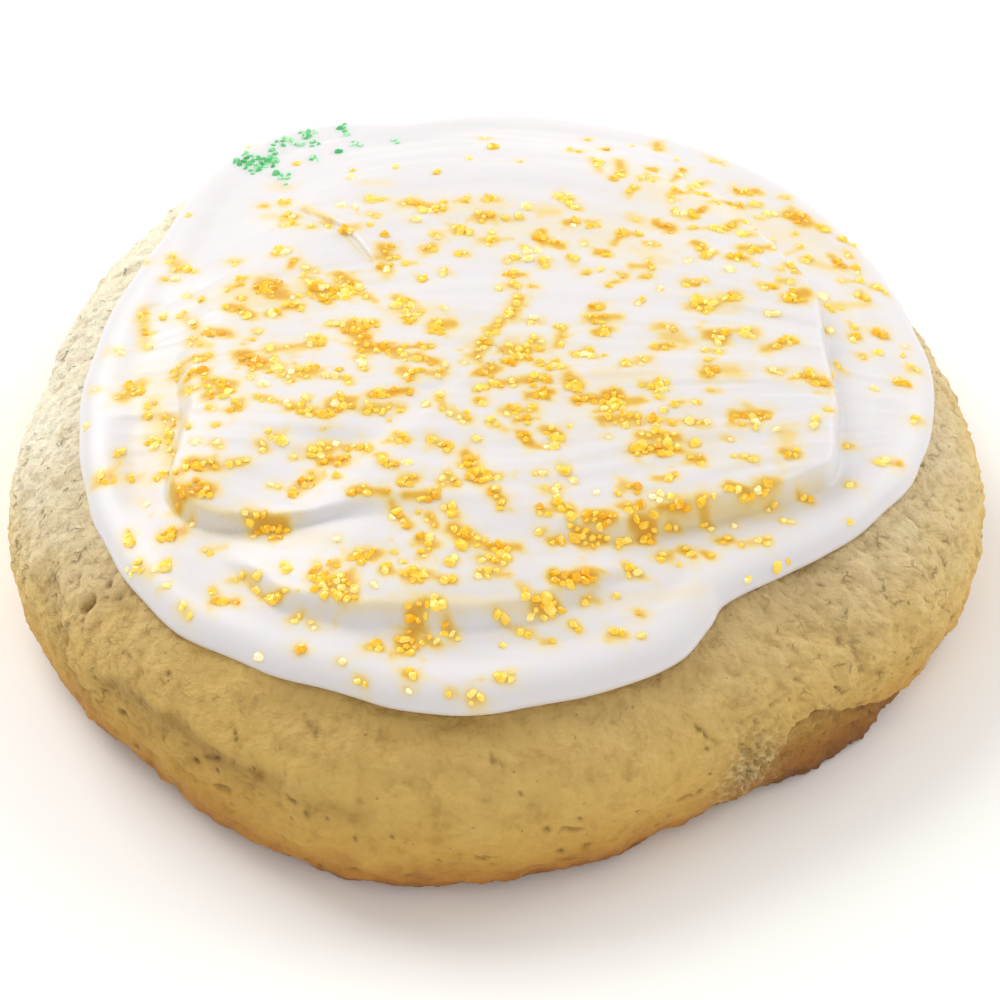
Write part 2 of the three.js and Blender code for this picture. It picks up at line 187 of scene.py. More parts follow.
def ball_start(name, segments, rings):
    """A ball with its faces halved, and each corner's bearing and ring number, ready to be shaped."""
    bpy.ops.object.select_all(action="DESELECT")
    coarse = 2**HALVINGS
    bpy.ops.mesh.primitive_uv_sphere_add(segments=segments // coarse, ring_count=rings // coarse, radius=1)
    piece = bpy.context.object
    piece.name = name
    piece.data.name = name
    halved = piece.modifiers.new("halved", "SUBSURF")
    halved.subdivision_type = "SIMPLE"
    halved.levels = halved.render_levels = HALVINGS
    bpy.ops.object.modifier_apply(modifier=halved.name)
    corners = np.empty(len(piece.data.vertices) * 3)
    piece.data.vertices.foreach_get("co", corners)
    corners = corners.reshape(-1, 3)
    bearing = np.degrees(np.arctan2(corners[:, 1], corners[:, 0])) % 360
    ring = np.round(np.arccos(np.clip(corners[:, 2], -1, 1)) / math.pi * rings)
    return piece, bearing, ring


def shape_to(piece, points):
    """Moves the corners to points in millimetres, centred over the frame as the solids are."""
    piece.data.vertices.foreach_set("co", ((points + to_frame) * MM).ravel())
    piece.data.update()
    bpy.ops.object.select_all(action="DESELECT")
    piece.select_set(True)
    bpy.context.view_layer.objects.active = piece
    bpy.ops.object.shade_smooth()


def paint(piece, name, values):
    """Keeps one number for each corner, for the materials to read."""
    marks = piece.data.attributes.new(name, "FLOAT", "POINT")
    marks.data.foreach_set("value", np.asarray(values, np.float32))


outline = profile(np.arange(0.0, 360.0, 1.0), np.ones(360))
biscuit_low, biscuit_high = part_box("biscuit")
to_frame = (np.array(biscuit_low) + np.array(biscuit_high)) / 2 / MM
to_frame -= (outline.min(axis=0) + outline.max(axis=0)) / 2
to_frame[2] = 0.0

# Rings of the ball: under the icing, down the wall to the foot, and across the base
RINGS_HIDDEN, RINGS_WALL, RINGS_BASE = 8, 92, 4
BISCUIT_SEGMENTS = 900
# Where the relief fades in under the icing and out at the base, as ways along the profile
SHOWS_FROM, SHOWS_TO = (-0.05, 0.08), (1.9, 2.0)
# Lumps of the crumb: width, how far they stand out, octaves
CRUMB = [(13.0, 0.5, 1), (5.0, 0.3, 1), (1.9, 0.22, 3), (0.7, 0.06, 2)]
# Long low dents that run round the wall: length, height and depth
DENT_LENGTH, DENT_HEIGHT, DENT_DEPTH = 5.0, 1.4, 0.2
# Short wrinkles that run round the wall, as the drying skin broke over the rising dough
WRINKLE_LENGTH, WRINKLE_HEIGHT, WRINKLE_NARROWNESS, WRINKLE_DEPTH = 3.0, 1.0, 0.07, 0.16
# Their share everywhere, in patches this wide, and where the skin dried most
WRINKLES_ALWAYS, WRINKLES_IN_PATCHES, WRINKLES_ON_SKIN, WRINKLE_PATCH = 0.2, 0.3, 0.6, 9.0
# Puffy plates with sharp creases between them, where the skin dried most
PLATE_LENGTH, PLATE_HEIGHT, PLATE_RISE, PLATE_TOP, PLATE_CREASE = 2.2, 1.6, 0.68, 0.45, 0.035
SKIN_LUMP, SKIN_LUMP_RISE = 1.0, 0.14
SKIN_FROM, SKIN_FULL = 3.0, 8.0
# Folds on the front left, where the skin sagged: lines as bearing and height, depth and half-width
FOLDS = [
    ([(221, 10.2), (225, 10.8), (229, 10.9), (234, 11.2), (237, 10.8), (241, 10.8), (247, 11.0)], 0.8, 0.5),
    ([(204, 12.0), (208, 11.0), (213, 10.0), (214.5, 7.5), (218, 6.2)], 0.6, 0.6),
    ([(247, 11.0), (252, 10.4), (258, 10.6)], 0.3, 0.7),
]
FOLD_WAVE, FOLD_WAVER = 2.0, 0.3
SAG, SAG_RUN, SAG_FROM, SAG_FULL = 1.3, 1.0, 2.0, 8.0
# The shade under a fold: where it is full, where it begins to fade and where it ends
SHADE_FULL, SHADE_FADES, SHADE_ENDS = 0.5, 0.8, 3.2
# The notch on the front right: the wall stands back under an arched lip, and its foot spreads out below
NOTCH_LIP = [
    (304, 4.0), (306, 6.5), (308.5, 9.2), (311, 9.8), (314, 8.4), (318, 6.2), (322, 4.4), (328, 3.0),
]
NOTCH_FROM, NOTCH_TO, NOTCH_FADE = 304, 331, 5
NOTCH_DEPTH, NOTCH_SILL, NOTCH_LIP_BELOW, NOTCH_LIP_ABOVE = 1.2, 0.8, 0.7, 0.1
NOTCH_WAVE, NOTCH_WAVER = 1.6, 0.35
NOTCH_CRUMB = [(1.5, 0.35, 3), (0.8, 0.15, 2)]
NOTCH_SPREAD, SPREAD_HEIGHT, SPREAD_FADES, SPREAD_ENDS = 1.3, 3.2, 317, 328
# The shade under the notch's lip: how far down, and how high
LIP_SHADE_DOWN, LIP_SHADE_HEIGHT = 1.0, 0.8
# The crumbly patch beside it: bearing, height, half-length, half-height, roughness
CRUMBLY_AT, CRUMBLY_UP, CRUMBLY_LONG, CRUMBLY_HIGH, CRUMBLY_RISE = 302.5, 5.6, 4.4, 4.2, 0.9
CRUMBLY_LUMP, CRUMBLY_SINK = 1.0, 0.4
# Painted shade on the crumb just under the icing's edge, where its shadow falls: how far down, from and to
# which bearings
UNDER_ICING_SHADE_DOWN, UNDER_ICING_SHADE_FROM, UNDER_ICING_SHADE_TO, UNDER_ICING_SHADE_FADE = 2.2, 236, 330, 12
# Pits as bearing, height, half-length, half-height and depth
PITS = [
    (213.0, 12.9, 0.6, 0.52, 1.2), (215.5, 14.2, 0.55, 0.22, 0.5), (318.8, 12.6, 0.8, 0.35, 0.35),
    (332.0, 14.9, 0.9, 0.22, 0.35), (339.5, 15.1, 0.7, 0.2, 0.3),
]
# Painted light: how much paler the wall is painted, as bearings and shares,
# palest on the back left where the key light falls and darkest on the front
LIT_PALENESS = [
    (0, 0.46), (60, 0.6), (110, 0.8), (140, 1.0), (178, 1.0), (194, 0.68), (206, 0.42), (218, 0.15),
    (235, 0.0), (265, 0.0), (290, 0.08), (318, 0.2), (338, 0.36),
]
# How rough and wrinkled the skin dried, as bearings and shares
ROUGHNESS = [
    (0, 0.7), (40, 0.6), (90, 0.5), (130, 0.7), (160, 1.0), (205, 1.0), (228, 0.5), (248, 0.12),
    (288, 0.12), (306, 0.5), (322, 0.8), (345, 0.8),
]
# Pores: how many, their least and greatest radius, how far up the profile they lie, how deep they are,
# and how tightly the painted shade gathers in them
PORES, PORE_SMALLEST, PORE_LARGEST, FEW_LARGE = 420, 0.1, 0.3, 2.5
PORE_WAYS, PORE_DEPTH, PORE_SHADE_FALLOFF, PORE_REACH = (0.5, 1.95), 0.9, 0.8, 4
# Cracks: how many, between which heights, how long, how steep, how wide and deep, how dark their
# painted shade is, how they wander
CRACKS, CRACK_HEIGHTS, CRACK_LENGTHS, CRACK_STEEPEST = 60, (1.5, 15.0), (1.0, 3.2), 50
CRACK_WIDTH, CRACK_DEPTH, CRACK_SHADE, CRACK_REACH = 0.16, 0.35, 0.6, 1.5
CRACK_WAVE, CRACK_WAVER, CRACK_FADES, CRACK_ENDS = 0.9, 0.35, 0.2, 0.5

rings = RINGS_HIDDEN + RINGS_WALL + RINGS_BASE
biscuit, bearing, ring = ball_start("biscuit_crumb", BISCUIT_SEGMENTS, rings)
contact = way_at(bearing, through(ICING_EDGE, bearing) - HIDDEN_MARGIN)
hidden = contact * ring / RINGS_HIDDEN
wall = contact + (2 - contact) * (ring - RINGS_HIDDEN) / RINGS_WALL
way = np.where(ring <= RINGS_HIDDEN, hidden, np.minimum(wall, 2))
base_share = np.clip(1 - (ring - RINGS_HIDDEN - RINGS_WALL) / RINGS_BASE, 0, 1)
smooth = profile(bearing, way)
facing = outward(bearing, way)
# Distance along the wall, so that marks on it are as long and as high as stated
around = np.radians(bearing) * BISCUIT_RADIUS
height = smooth[:, 2]
showing = ease(way, contact + SHOWS_FROM[0], contact + SHOWS_FROM[1]) * (1 - ease(way, *SHOWS_TO))


def drawn_out(long, high):
    """The biscuit's places with lengths along the wall and heights in units of their own."""
    return smooth / np.array([long, long, high])


def along_wall(at):
    """How far along the wall the corners lie from a bearing."""
    return ((bearing - at + 180) % 360 - 180) * math.pi / 180 * BISCUIT_RADIUS


relief = DENT_DEPTH * lumps(drawn_out(DENT_LENGTH, DENT_HEIGHT), 1.0, 2)
for width, rise, octaves in CRUMB:
    relief += rise * lumps(smooth, width, octaves)

wrinkle = np.exp(-((lumps(drawn_out(WRINKLE_LENGTH, WRINKLE_HEIGHT), 1.0, 2) / WRINKLE_NARROWNESS) ** 2))
rough_skin = np.clip(through(ROUGHNESS, bearing), 0, 1) * ease(height, SKIN_FROM, SKIN_FULL)
wrinkle *= (
    WRINKLES_ALWAYS + WRINKLES_IN_PATCHES * ease(lumps(smooth, WRINKLE_PATCH), -0.1, 0.4)
    + WRINKLES_ON_SKIN * rough_skin
)
plate = lumps(drawn_out(PLATE_LENGTH, PLATE_HEIGHT), 1.0, 3)
plate_edge = np.exp(-((plate / PLATE_CREASE) ** 2)) * rough_skin
relief += rough_skin * SKIN_LUMP_RISE * lumps(smooth, SKIN_LUMP, 3)
relief += rough_skin * PLATE_RISE * np.minimum(np.abs(plate), PLATE_TOP)
relief -= WRINKLE_DEPTH * wrinkle

crease, under_fold = np.zeros(len(way)), np.zeros(len(way))
wavy_height = height + FOLD_WAVER * lumps(smooth, FOLD_WAVE, 2)
for line, depth, band in FOLDS:
    run = [(math.radians(at) * BISCUIT_RADIUS, up) for at, up in line]
    side, beside = line_side(around, wavy_height, run)
    fold = np.exp(-((side / band) ** 2)) * beside
    shade = ease(-side, 0, SHADE_FULL) * (1 - ease(-side, SHADE_FADES, SHADE_ENDS)) * beside
    crease = np.maximum(crease, fold * depth)
    under_fold = np.maximum(under_fold, shade * depth)
    sagged = beside * ease(-side, 0, SAG_RUN) * ease(height, SAG_FROM, SAG_FULL)
    relief -= depth * (fold + SAG * sagged)

notch_height = np.interp(bearing, *zip(*NOTCH_LIP)) + NOTCH_WAVER * lumps(smooth, NOTCH_WAVE, 2)
notch_share = stretch(bearing, NOTCH_FROM, NOTCH_TO, NOTCH_FADE)
notch = 1 - ease(height, notch_height - NOTCH_LIP_BELOW, notch_height + NOTCH_LIP_ABOVE)
notch *= notch_share
relief -= NOTCH_DEPTH * notch * ease(height, NOTCH_SILL, notch_height)
for width, rise, octaves in NOTCH_CRUMB:
    relief += notch * rise * lumps(smooth, width, octaves)
spread = NOTCH_SPREAD * notch * (1 - ease(height, 0, SPREAD_HEIGHT))
spread *= 1 - ease(bearing, SPREAD_FADES, SPREAD_ENDS)

off_crumbly = ((bearing - CRUMBLY_AT) / CRUMBLY_LONG) ** 2 + ((height - CRUMBLY_UP) / CRUMBLY_HIGH) ** 2
crumbly = np.exp(-off_crumbly)
relief += CRUMBLY_RISE * crumbly * (lumps(smooth, CRUMBLY_LUMP, 3) - CRUMBLY_SINK)

# Pits, pores and cracks sink the wall and also darken it with painted shade
pit_shade = np.zeros(len(way))
for at, up, half_long, half_high, depth in PITS:
    off = (along_wall(at) / half_long) ** 2 + ((height - up) / half_high) ** 2
    relief -= depth * np.exp(-(off**2))
    pit_shade = np.maximum(pit_shade, np.exp(-(off**2)) * min(depth, 1.0))

draw = np.random.RandomState(11)
pore_and_crack_shade = np.zeros(len(way))
pore_ways = draw.uniform(*PORE_WAYS, PORES)
pore_bearings = draw.uniform(0, 360, PORES)
pore_sizes = PORE_SMALLEST + (PORE_LARGEST - PORE_SMALLEST) * draw.uniform(0, 1, PORES) ** FEW_LARGE
for place, size in zip(profile(pore_bearings, pore_ways), pore_sizes):
    near = np.flatnonzero(np.abs(smooth - place).max(axis=1) < PORE_REACH * size)
    off = ((smooth[near] - place) ** 2).sum(axis=1) / size**2
    relief[near] -= PORE_DEPTH * size * np.exp(-off)
    pore_and_crack_shade[near] = np.maximum(pore_and_crack_shade[near], np.exp(-PORE_SHADE_FALLOFF * off))

for at, up in zip(draw.uniform(0, 360, CRACKS), draw.uniform(*CRACK_HEIGHTS, CRACKS)):
    length = draw.uniform(*CRACK_LENGTHS)
    tilt = math.radians(draw.uniform(-CRACK_STEEPEST, CRACK_STEEPEST))
    across = along_wall(at)
    along = across * math.cos(tilt) + (height - up) * math.sin(tilt)
    aside = (height - up) * math.cos(tilt) - across * math.sin(tilt)
    near = np.flatnonzero((np.abs(along) < length) & (np.abs(aside) < CRACK_REACH))
    wander = CRACK_WAVER * lumps(smooth[near], CRACK_WAVE)
    line = np.exp(-(((aside[near] + wander) / CRACK_WIDTH) ** 2))
    line *= 1 - ease(np.abs(along[near]), CRACK_FADES * length, CRACK_ENDS * length)
    relief[near] -= CRACK_DEPTH * line
    pore_and_crack_shade[near] = np.maximum(pore_and_crack_shade[near], CRACK_SHADE * line)

below_icing = profile(bearing, contact)[:, 2] - height
# Painted shade: the crumb is darker just under the icing's edge
under_icing_shade = np.exp(-((below_icing / UNDER_ICING_SHADE_DOWN) ** 2)) * stretch(bearing, UNDER_ICING_SHADE_FROM, UNDER_ICING_SHADE_TO, UNDER_ICING_SHADE_FADE)
lip_shade = np.exp(-(((height - notch_height + LIP_SHADE_DOWN) / LIP_SHADE_HEIGHT) ** 2)) * notch_share

points = smooth + facing * (relief * showing)[:, None] + placed(bearing, spread, 0 * spread)
points[:, 2] = np.where(base_share < 1, 0, np.maximum(points[:, 2], 0))
points[:, :2] *= base_share[:, None]
shape_to(biscuit, points)
# Painted shade: how much each mark darkens the crumb in its hollows and creases and under the icing, the
# folds and the notch's lip, and how much less it does where the wall is painted paler
darkening = [
    (pore_and_crack_shade, 0.9), (pit_shade, 0.5), (crease, 0.45), (wrinkle, 0.25), (plate_edge, 0.2), (under_icing_shade, 0.28),
    (lip_shade, 0.4), (under_fold, 0.3),
]
LESS_WHERE_PALE = 0.4
# Painted light: the wall is painted paler where the key light falls on it
lit_paleness = np.clip(through(LIT_PALENESS, bearing), 0, 1)
hollow = np.clip(sum(mark * share for mark, share in darkening), 0, 1) * (1 - LESS_WHERE_PALE * lit_paleness)
paint(biscuit, "height", points[:, 2])
paint(biscuit, "hollow", hollow * showing)
paint(biscuit, "notch", notch)
paint(biscuit, "crumbly", crumbly)
paint(biscuit, "rough", np.maximum(rough_skin, notch))
paint(biscuit, "pale", lit_paleness)


def linear(hex_colour):
    """An sRGB hex colour as linear red, green and blue, with full alpha."""
    parts = [int(hex_colour[i:i + 2], 16) / 255 for i in (1, 3, 5)]
    return tuple(p / 12.92 if p <= 0.04045 else ((p + 0.055) / 1.055) ** 2.4 for p in parts) + (1.0,)


def new_material(name):
    """A new material with nodes, and its shader."""
    material = bpy.data.materials.new(name)
    material.use_nodes = True
    return material, material.node_tree.nodes["Principled BSDF"]


def add_node(material, kind, settings=None, inputs=None, stops=()):
    """Adds a node with its settings and inputs, linked where they are sockets, and a ramp's stops."""
    node = material.node_tree.nodes.new(kind)
    for name, value in (settings or {}).items():
        setattr(node, name, value)
    for name, value in (inputs or {}).items():
        if isinstance(value, bpy.types.NodeSocket):
            material.node_tree.links.new(value, node.inputs[name])
        else:
            node.inputs[name].default_value = value
    # A new ramp has two stops already
    for _ in stops[2:]:
        node.color_ramp.elements.new(1.0)
    for index, (place, colour) in enumerate(stops):
        node.color_ramp.elements[index].position = place
        node.color_ramp.elements[index].color = linear(colour)
    return node


# Baked crumb: matt, a little translucent, browned at the foot, painted paler where the key light falls
# and darker with painted shade in its hollows.
# Its patterns: width in millimetres, detail and roughness
CRUMB_PATTERNS = {
    "cloud": (7.0, 3.0, 0.5), "fleck": (2.2, 6.0, 0.6), "ragged": (0.35, 2.0, 0.5), "bits": (0.7, 3.0, 0.5),
    "wobble": (1.0, 2.0, 0.5), "patches": (1.6, 1.0, 0.5), "grit": (0.9, 5.0, 0.55),
}
SPECK_SIZE, CRACK_PLATE, CRACK_WOBBLE, GRIT_DEPTH = 1.9, 1.5, 1.1, 0.9
# Heights between which the browning runs out, and how far the clouds shift them
BROWN_FROM, BROWN_TO, CLOUD_SHIFT = 2.5, 19.0, 5.0
# How much higher on its ramp the wall painted paler by the light stands, how much grey the crumbly patch
# takes up, how dark the painted shade in the fine cracks is and how far they dip
PALE_SHIFT, CRUMBLY_GREY, CRACK_DARKNESS, CRACK_DIP = 0.4, 0.75, 0.25, -0.3
# A Mix node's sockets for its share, its two colours and its result, and its settings
SHARE, FIRST, SECOND, MIXED = 0, 6, 7, 2
OVER, TINTING = {"data_type": "RGBA"}, {"data_type": "RGBA", "blend_type": "MULTIPLY"}

crumb, crumb_shader = new_material("baked_sugar_crumb")
place = add_node(crumb, "ShaderNodeTexCoord").outputs["Object"]
marks = {
    name: add_node(crumb, "ShaderNodeAttribute", {"attribute_name": name}).outputs["Fac"]
    for name in ("height", "hollow", "notch", "crumbly", "rough", "pale")
}
patterns = {
    name: add_node(crumb, "ShaderNodeTexNoise", None, {
        "Vector": place, "Scale": 1 / (size * MM), "Detail": detail, "Roughness": roughness,
    })
    for name, (size, detail, roughness) in CRUMB_PATTERNS.items()
}
cloudy_up = add_node(crumb, "ShaderNodeMath", {"operation": "MULTIPLY_ADD"}, {
    0: patterns["cloud"].outputs["Fac"], 1: CLOUD_SHIFT, 2: marks["height"],
})
up_share = add_node(crumb, "ShaderNodeMapRange", None, {
    "Value": cloudy_up.outputs[0], "From Min": BROWN_FROM, "From Max": BROWN_TO,
})
browning = add_node(crumb, "ShaderNodeValToRGB", None, {"Fac": up_share.outputs["Result"]}, [
    (0.0, "#86501C"), (0.14, "#B47A28"), (0.36, "#C89C43"), (0.66, "#D2AE5C"), (1.0, "#D2B166"),
])
# Painted light: the wall's colour is paler on the back left, where the key light falls
painted_light_share = add_node(crumb, "ShaderNodeMath", {"operation": "MULTIPLY_ADD"}, {
    0: marks["pale"], 1: PALE_SHIFT, 2: up_share.outputs["Result"],
})
paler = add_node(crumb, "ShaderNodeValToRGB", None, {"Fac": painted_light_share.outputs[0]}, [
    (0.0, "#A67C42"), (0.2, "#CCA052"), (0.45, "#F4D07A"), (0.75, "#FFE7A4"), (1.0, "#FFF8E0"),
])
baked = add_node(crumb, "ShaderNodeMix", OVER, {
    SHARE: marks["pale"], FIRST: browning.outputs["Color"], SECOND: paler.outputs["Color"],
})
fleck_colour = add_node(crumb, "ShaderNodeValToRGB", None, {"Fac": patterns["fleck"].outputs["Fac"]}, [
    (0.3, "#D8CCB4"), (0.45, "#F6F1E8"), (0.68, "#FFFFFF"),
])
mottled = add_node(crumb, "ShaderNodeMix", TINTING, {
    SHARE: 0.8, FIRST: baked.outputs[MIXED], SECOND: fleck_colour.outputs["Color"],
})

# Dark specks with ragged edges
speck = add_node(crumb, "ShaderNodeTexVoronoi", None, {"Vector": place, "Scale": 1 / (SPECK_SIZE * MM)})
speck_edge = add_node(crumb, "ShaderNodeMath", {"operation": "MULTIPLY_ADD"}, {
    0: patterns["ragged"].outputs["Fac"], 1: 0.3, 2: speck.outputs["Distance"],
})
speck_share = add_node(crumb, "ShaderNodeMapRange", None, {
    "Value": speck_edge.outputs[0], "From Min": 0.23, "From Max": 0.19, "To Max": 0.6,
})
specked = add_node(crumb, "ShaderNodeMix", OVER, {
    SHARE: speck_share.outputs["Result"], FIRST: mottled.outputs[MIXED], SECOND: linear("#8E6E38"),
})

# The notch's crumb is darker and less red, and the patch beside it shows grey bits of the inner crumb
notch_darker = add_node(crumb, "ShaderNodeMix", TINTING, {
    SHARE: marks["notch"], FIRST: specked.outputs[MIXED], SECOND: linear("#E6DCCC"),
})
grey_share = add_node(crumb, "ShaderNodeMath", {"operation": "MULTIPLY"}, {
    0: marks["crumbly"], 1: CRUMBLY_GREY,
})
bits_colour = add_node(crumb, "ShaderNodeValToRGB", None, {"Fac": patterns["bits"].outputs["Fac"]}, [
    (0.36, "#6A5228"), (0.5, "#A08A56"), (0.64, "#D6C89E"),
])
greyed = add_node(crumb, "ShaderNodeMix", OVER, {
    SHARE: grey_share.outputs[0], FIRST: notch_darker.outputs[MIXED], SECOND: bits_colour.outputs["Color"],
})

# Fine cracks between plates of the dried skin, in some places only, darkened with painted shade
bent_place = add_node(crumb, "ShaderNodeVectorMath", {"operation": "MULTIPLY_ADD"}, {
    0: patterns["wobble"].outputs["Color"], 1: (CRACK_WOBBLE * MM,) * 3, 2: place,
})
plates = add_node(crumb, "ShaderNodeTexVoronoi", {"feature": "DISTANCE_TO_EDGE"}, {
    "Vector": bent_place.outputs["Vector"], "Scale": 1 / (CRACK_PLATE * MM),
})
crack_line = add_node(crumb, "ShaderNodeMapRange", None, {
    "Value": plates.outputs["Distance"], "From Min": 0.07, "From Max": 0.01,
})
patch_share = add_node(crumb, "ShaderNodeMapRange", None, {
    "Value": patterns["patches"].outputs["Fac"], "From Min": 0.58, "From Max": 0.68,
})
crack = crack_line.outputs["Result"]
for share in (patch_share.outputs["Result"], marks["rough"]):
    crack = add_node(crumb, "ShaderNodeMath", {"operation": "MULTIPLY"}, {0: crack, 1: share}).outputs[0]
# Painted shade in the fine cracks
crack_dark = add_node(crumb, "ShaderNodeMath", {"operation": "MULTIPLY"}, {0: crack, 1: CRACK_DARKNESS})
cracked = add_node(crumb, "ShaderNodeMix", OVER, {
    SHARE: crack_dark.outputs[0], FIRST: greyed.outputs[MIXED], SECOND: linear("#7C5C28"),
})
# Painted shade in the pores, pits, cracks, creases and wrinkles, and under the icing, the folds and the lip
shaded = add_node(crumb, "ShaderNodeMix", OVER, {
    SHARE: marks["hollow"], FIRST: cracked.outputs[MIXED], SECOND: linear("#74521E"),
})

# Gritty all over, most where the skin dried
grit_strength = add_node(crumb, "ShaderNodeMapRange", None, {"Value": marks["rough"], "To Min": 0.6})
grit_height = add_node(crumb, "ShaderNodeMath", {"operation": "MULTIPLY_ADD"}, {
    0: crack, 1: CRACK_DIP, 2: patterns["grit"].outputs["Fac"],
})
grit_bump = add_node(crumb, "ShaderNodeBump", None, {
    "Height": grit_height.outputs[0], "Strength": grit_strength.outputs["Result"],
    "Distance": GRIT_DEPTH * MM,
})
crumb.node_tree.links.new(shaded.outputs[MIXED], crumb_shader.inputs["Base Color"])
crumb.node_tree.links.new(grit_bump.outputs["Normal"], crumb_shader.inputs["Normal"])
crumb_shader.inputs["Roughness"].default_value = 0.7
crumb_shader.inputs["Subsurface Weight"].default_value = 0.15
crumb_shader.inputs["Subsurface Radius"].default_value = (1.2 * MM, 0.7 * MM, 0.35 * MM)
crumb_shader.inputs["Subsurface Scale"].default_value = 1.0
biscuit.data.materials.append(crumb)
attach(biscuit, "root")
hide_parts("biscuit")


# The icing
# Soft white sugar icing spread with a blade: a thin film with a rolled edge, a lower tier in front
# and a thick slab where the last strokes ended. It is smooth, satin and a little translucent.

# The slab's outline, how far it stands up and how wide its wall is, as bearings and millimetres
SLAB_EDGE = [
    (3, 30.6), (12, 30.9), (21, 31.7), (31, 31.8), (60, 33.0), (90, 33.0), (120, 31.0), (150, 28.0),
    (186, 27.3), (193, 27.7), (200, 29.4), (207, 31.2), (212, 31.4), (217, 30.6), (222, 28.4), (230, 25.3),
    (240, 21.5), (253, 19.3), (275, 20.5), (296, 23.0), (307, 24.1), (314, 25.0), (321, 27.0), (327, 29.0),
    (332, 30.8), (338, 32.3), (346, 31.8), (355, 31.0),
]
SLAB_STEP = [
    (0, 2.3), (30, 2.0), (60, 1.0), (120, 0.8), (150, 0.9), (180, 1.3), (200, 2.0), (213, 1.9),
    (225, 1.3), (234, 1.1), (243, 0.7), (255, 0.5), (277, 0.6), (290, 1.0), (303, 1.7), (325, 2.2),
    (345, 2.3),
]
SLAB_RUN = [
    (0, 1.2), (30, 2.0), (70, 9.0), (120, 9.0), (160, 5.0), (185, 2.0), (200, 1.2), (216, 1.0),
    (232, 1.4), (241, 2.4), (255, 4.4), (277, 4.4), (298, 1.8), (315, 1.4), (330, 1.2), (345, 1.0),
]
SLAB_MIDDLE, SLAB_MIDDLE_REACH = 1.9, 20.0
# The lower tier in front: its outline, the bearings it spans, how far it stands up, its wall's width
TIER_EDGE = [(231, 34.2), (239, 33.0), (247, 32.0), (256, 30.9), (267, 30.1), (279, 29.2), (294, 27.5)]
TIER_FROM, TIER_TO, TIER_FADE, TIER_STEP, TIER_RUN = 214, 306, 32, 1.5, 1.9
# How far the tier keeps from the slab and from the bead
OFF_SLAB, OFF_BEAD = 1.8, 0.9
FILM = 1.4
BEAD_RISE, BEAD_RUN = 0.5, 3.2
LIP, LIP_WAIST, UNDERCUT = 2.2, 0.35, 0.45
# How the outer edge and the feet of slab and tier wander: lump width and swing
EDGE_WANDER, FOOT_WANDER, WANDER_CIRCLE = (3.0, 0.25), (4.0, 0.35), 20.0
# Blade streaks: how long and how wide they are, how far they stand out
STREAKS = [(24.0, 3.4, 0.15), (11.0, 1.2, 0.04)]
STREAK_BEND, STREAK_TURN, STREAKS_OFF_EDGE = 0.012, 14.0, 2.5
SWELL_WIDTH, SWELL_RISE = 9.0, 0.2
# The flap at the back left: its edge line, how far its upper side stands up, and where that ends
FLAP_LINE = [(-18.4, 23.2), (-16.0, 20.9), (-13.6, 19.0), (-12.1, 16.6), (-10.9, 14.4)]
FLAP_RISE, FLAP_EDGE, FLAP_FADES, FLAP_ENDS = 0.45, 0.15, 0.3, 4.5
# The blade scraped the film thin here: middle, half-length along Y, half-width and depth
SCRAPE = (-32.0, -13.0, 9.0, 3.0, 0.7)
RINGS_TOP, RINGS_LIP, RINGS_UNDER = 112, 14, 6
ICING_SEGMENTS = 720
LIP_TURN = (90.0, -60.0)
SUNK = -0.4


def icing_edge(bearing):
    """How far out the icing's lip reaches."""
    width, swing = EDGE_WANDER
    return through(ICING_EDGE, bearing) + swing * lumps(placed(bearing, WANDER_CIRCLE, 0 * bearing), width)


def slab_foot(bearing):
    """How far out the slab's wall reaches at its foot."""
    return through(SLAB_EDGE, bearing) + through(SLAB_RUN, bearing) / 2


def tier_edge(bearing):
    """How far out the lower tier reaches, clear of the slab and of the bead."""
    slab = through(SLAB_EDGE, bearing)
    bead = through(ICING_EDGE, bearing) - LIP - BEAD_RUN
    strength = stretch(bearing, TIER_FROM, TIER_TO, TIER_FADE)
    edge = (slab + bead) / 2 * (1 - strength) + through(TIER_EDGE, bearing) * strength
    return np.clip(edge, slab + OFF_SLAB, np.maximum(bead - OFF_BEAD, slab + OFF_SLAB))


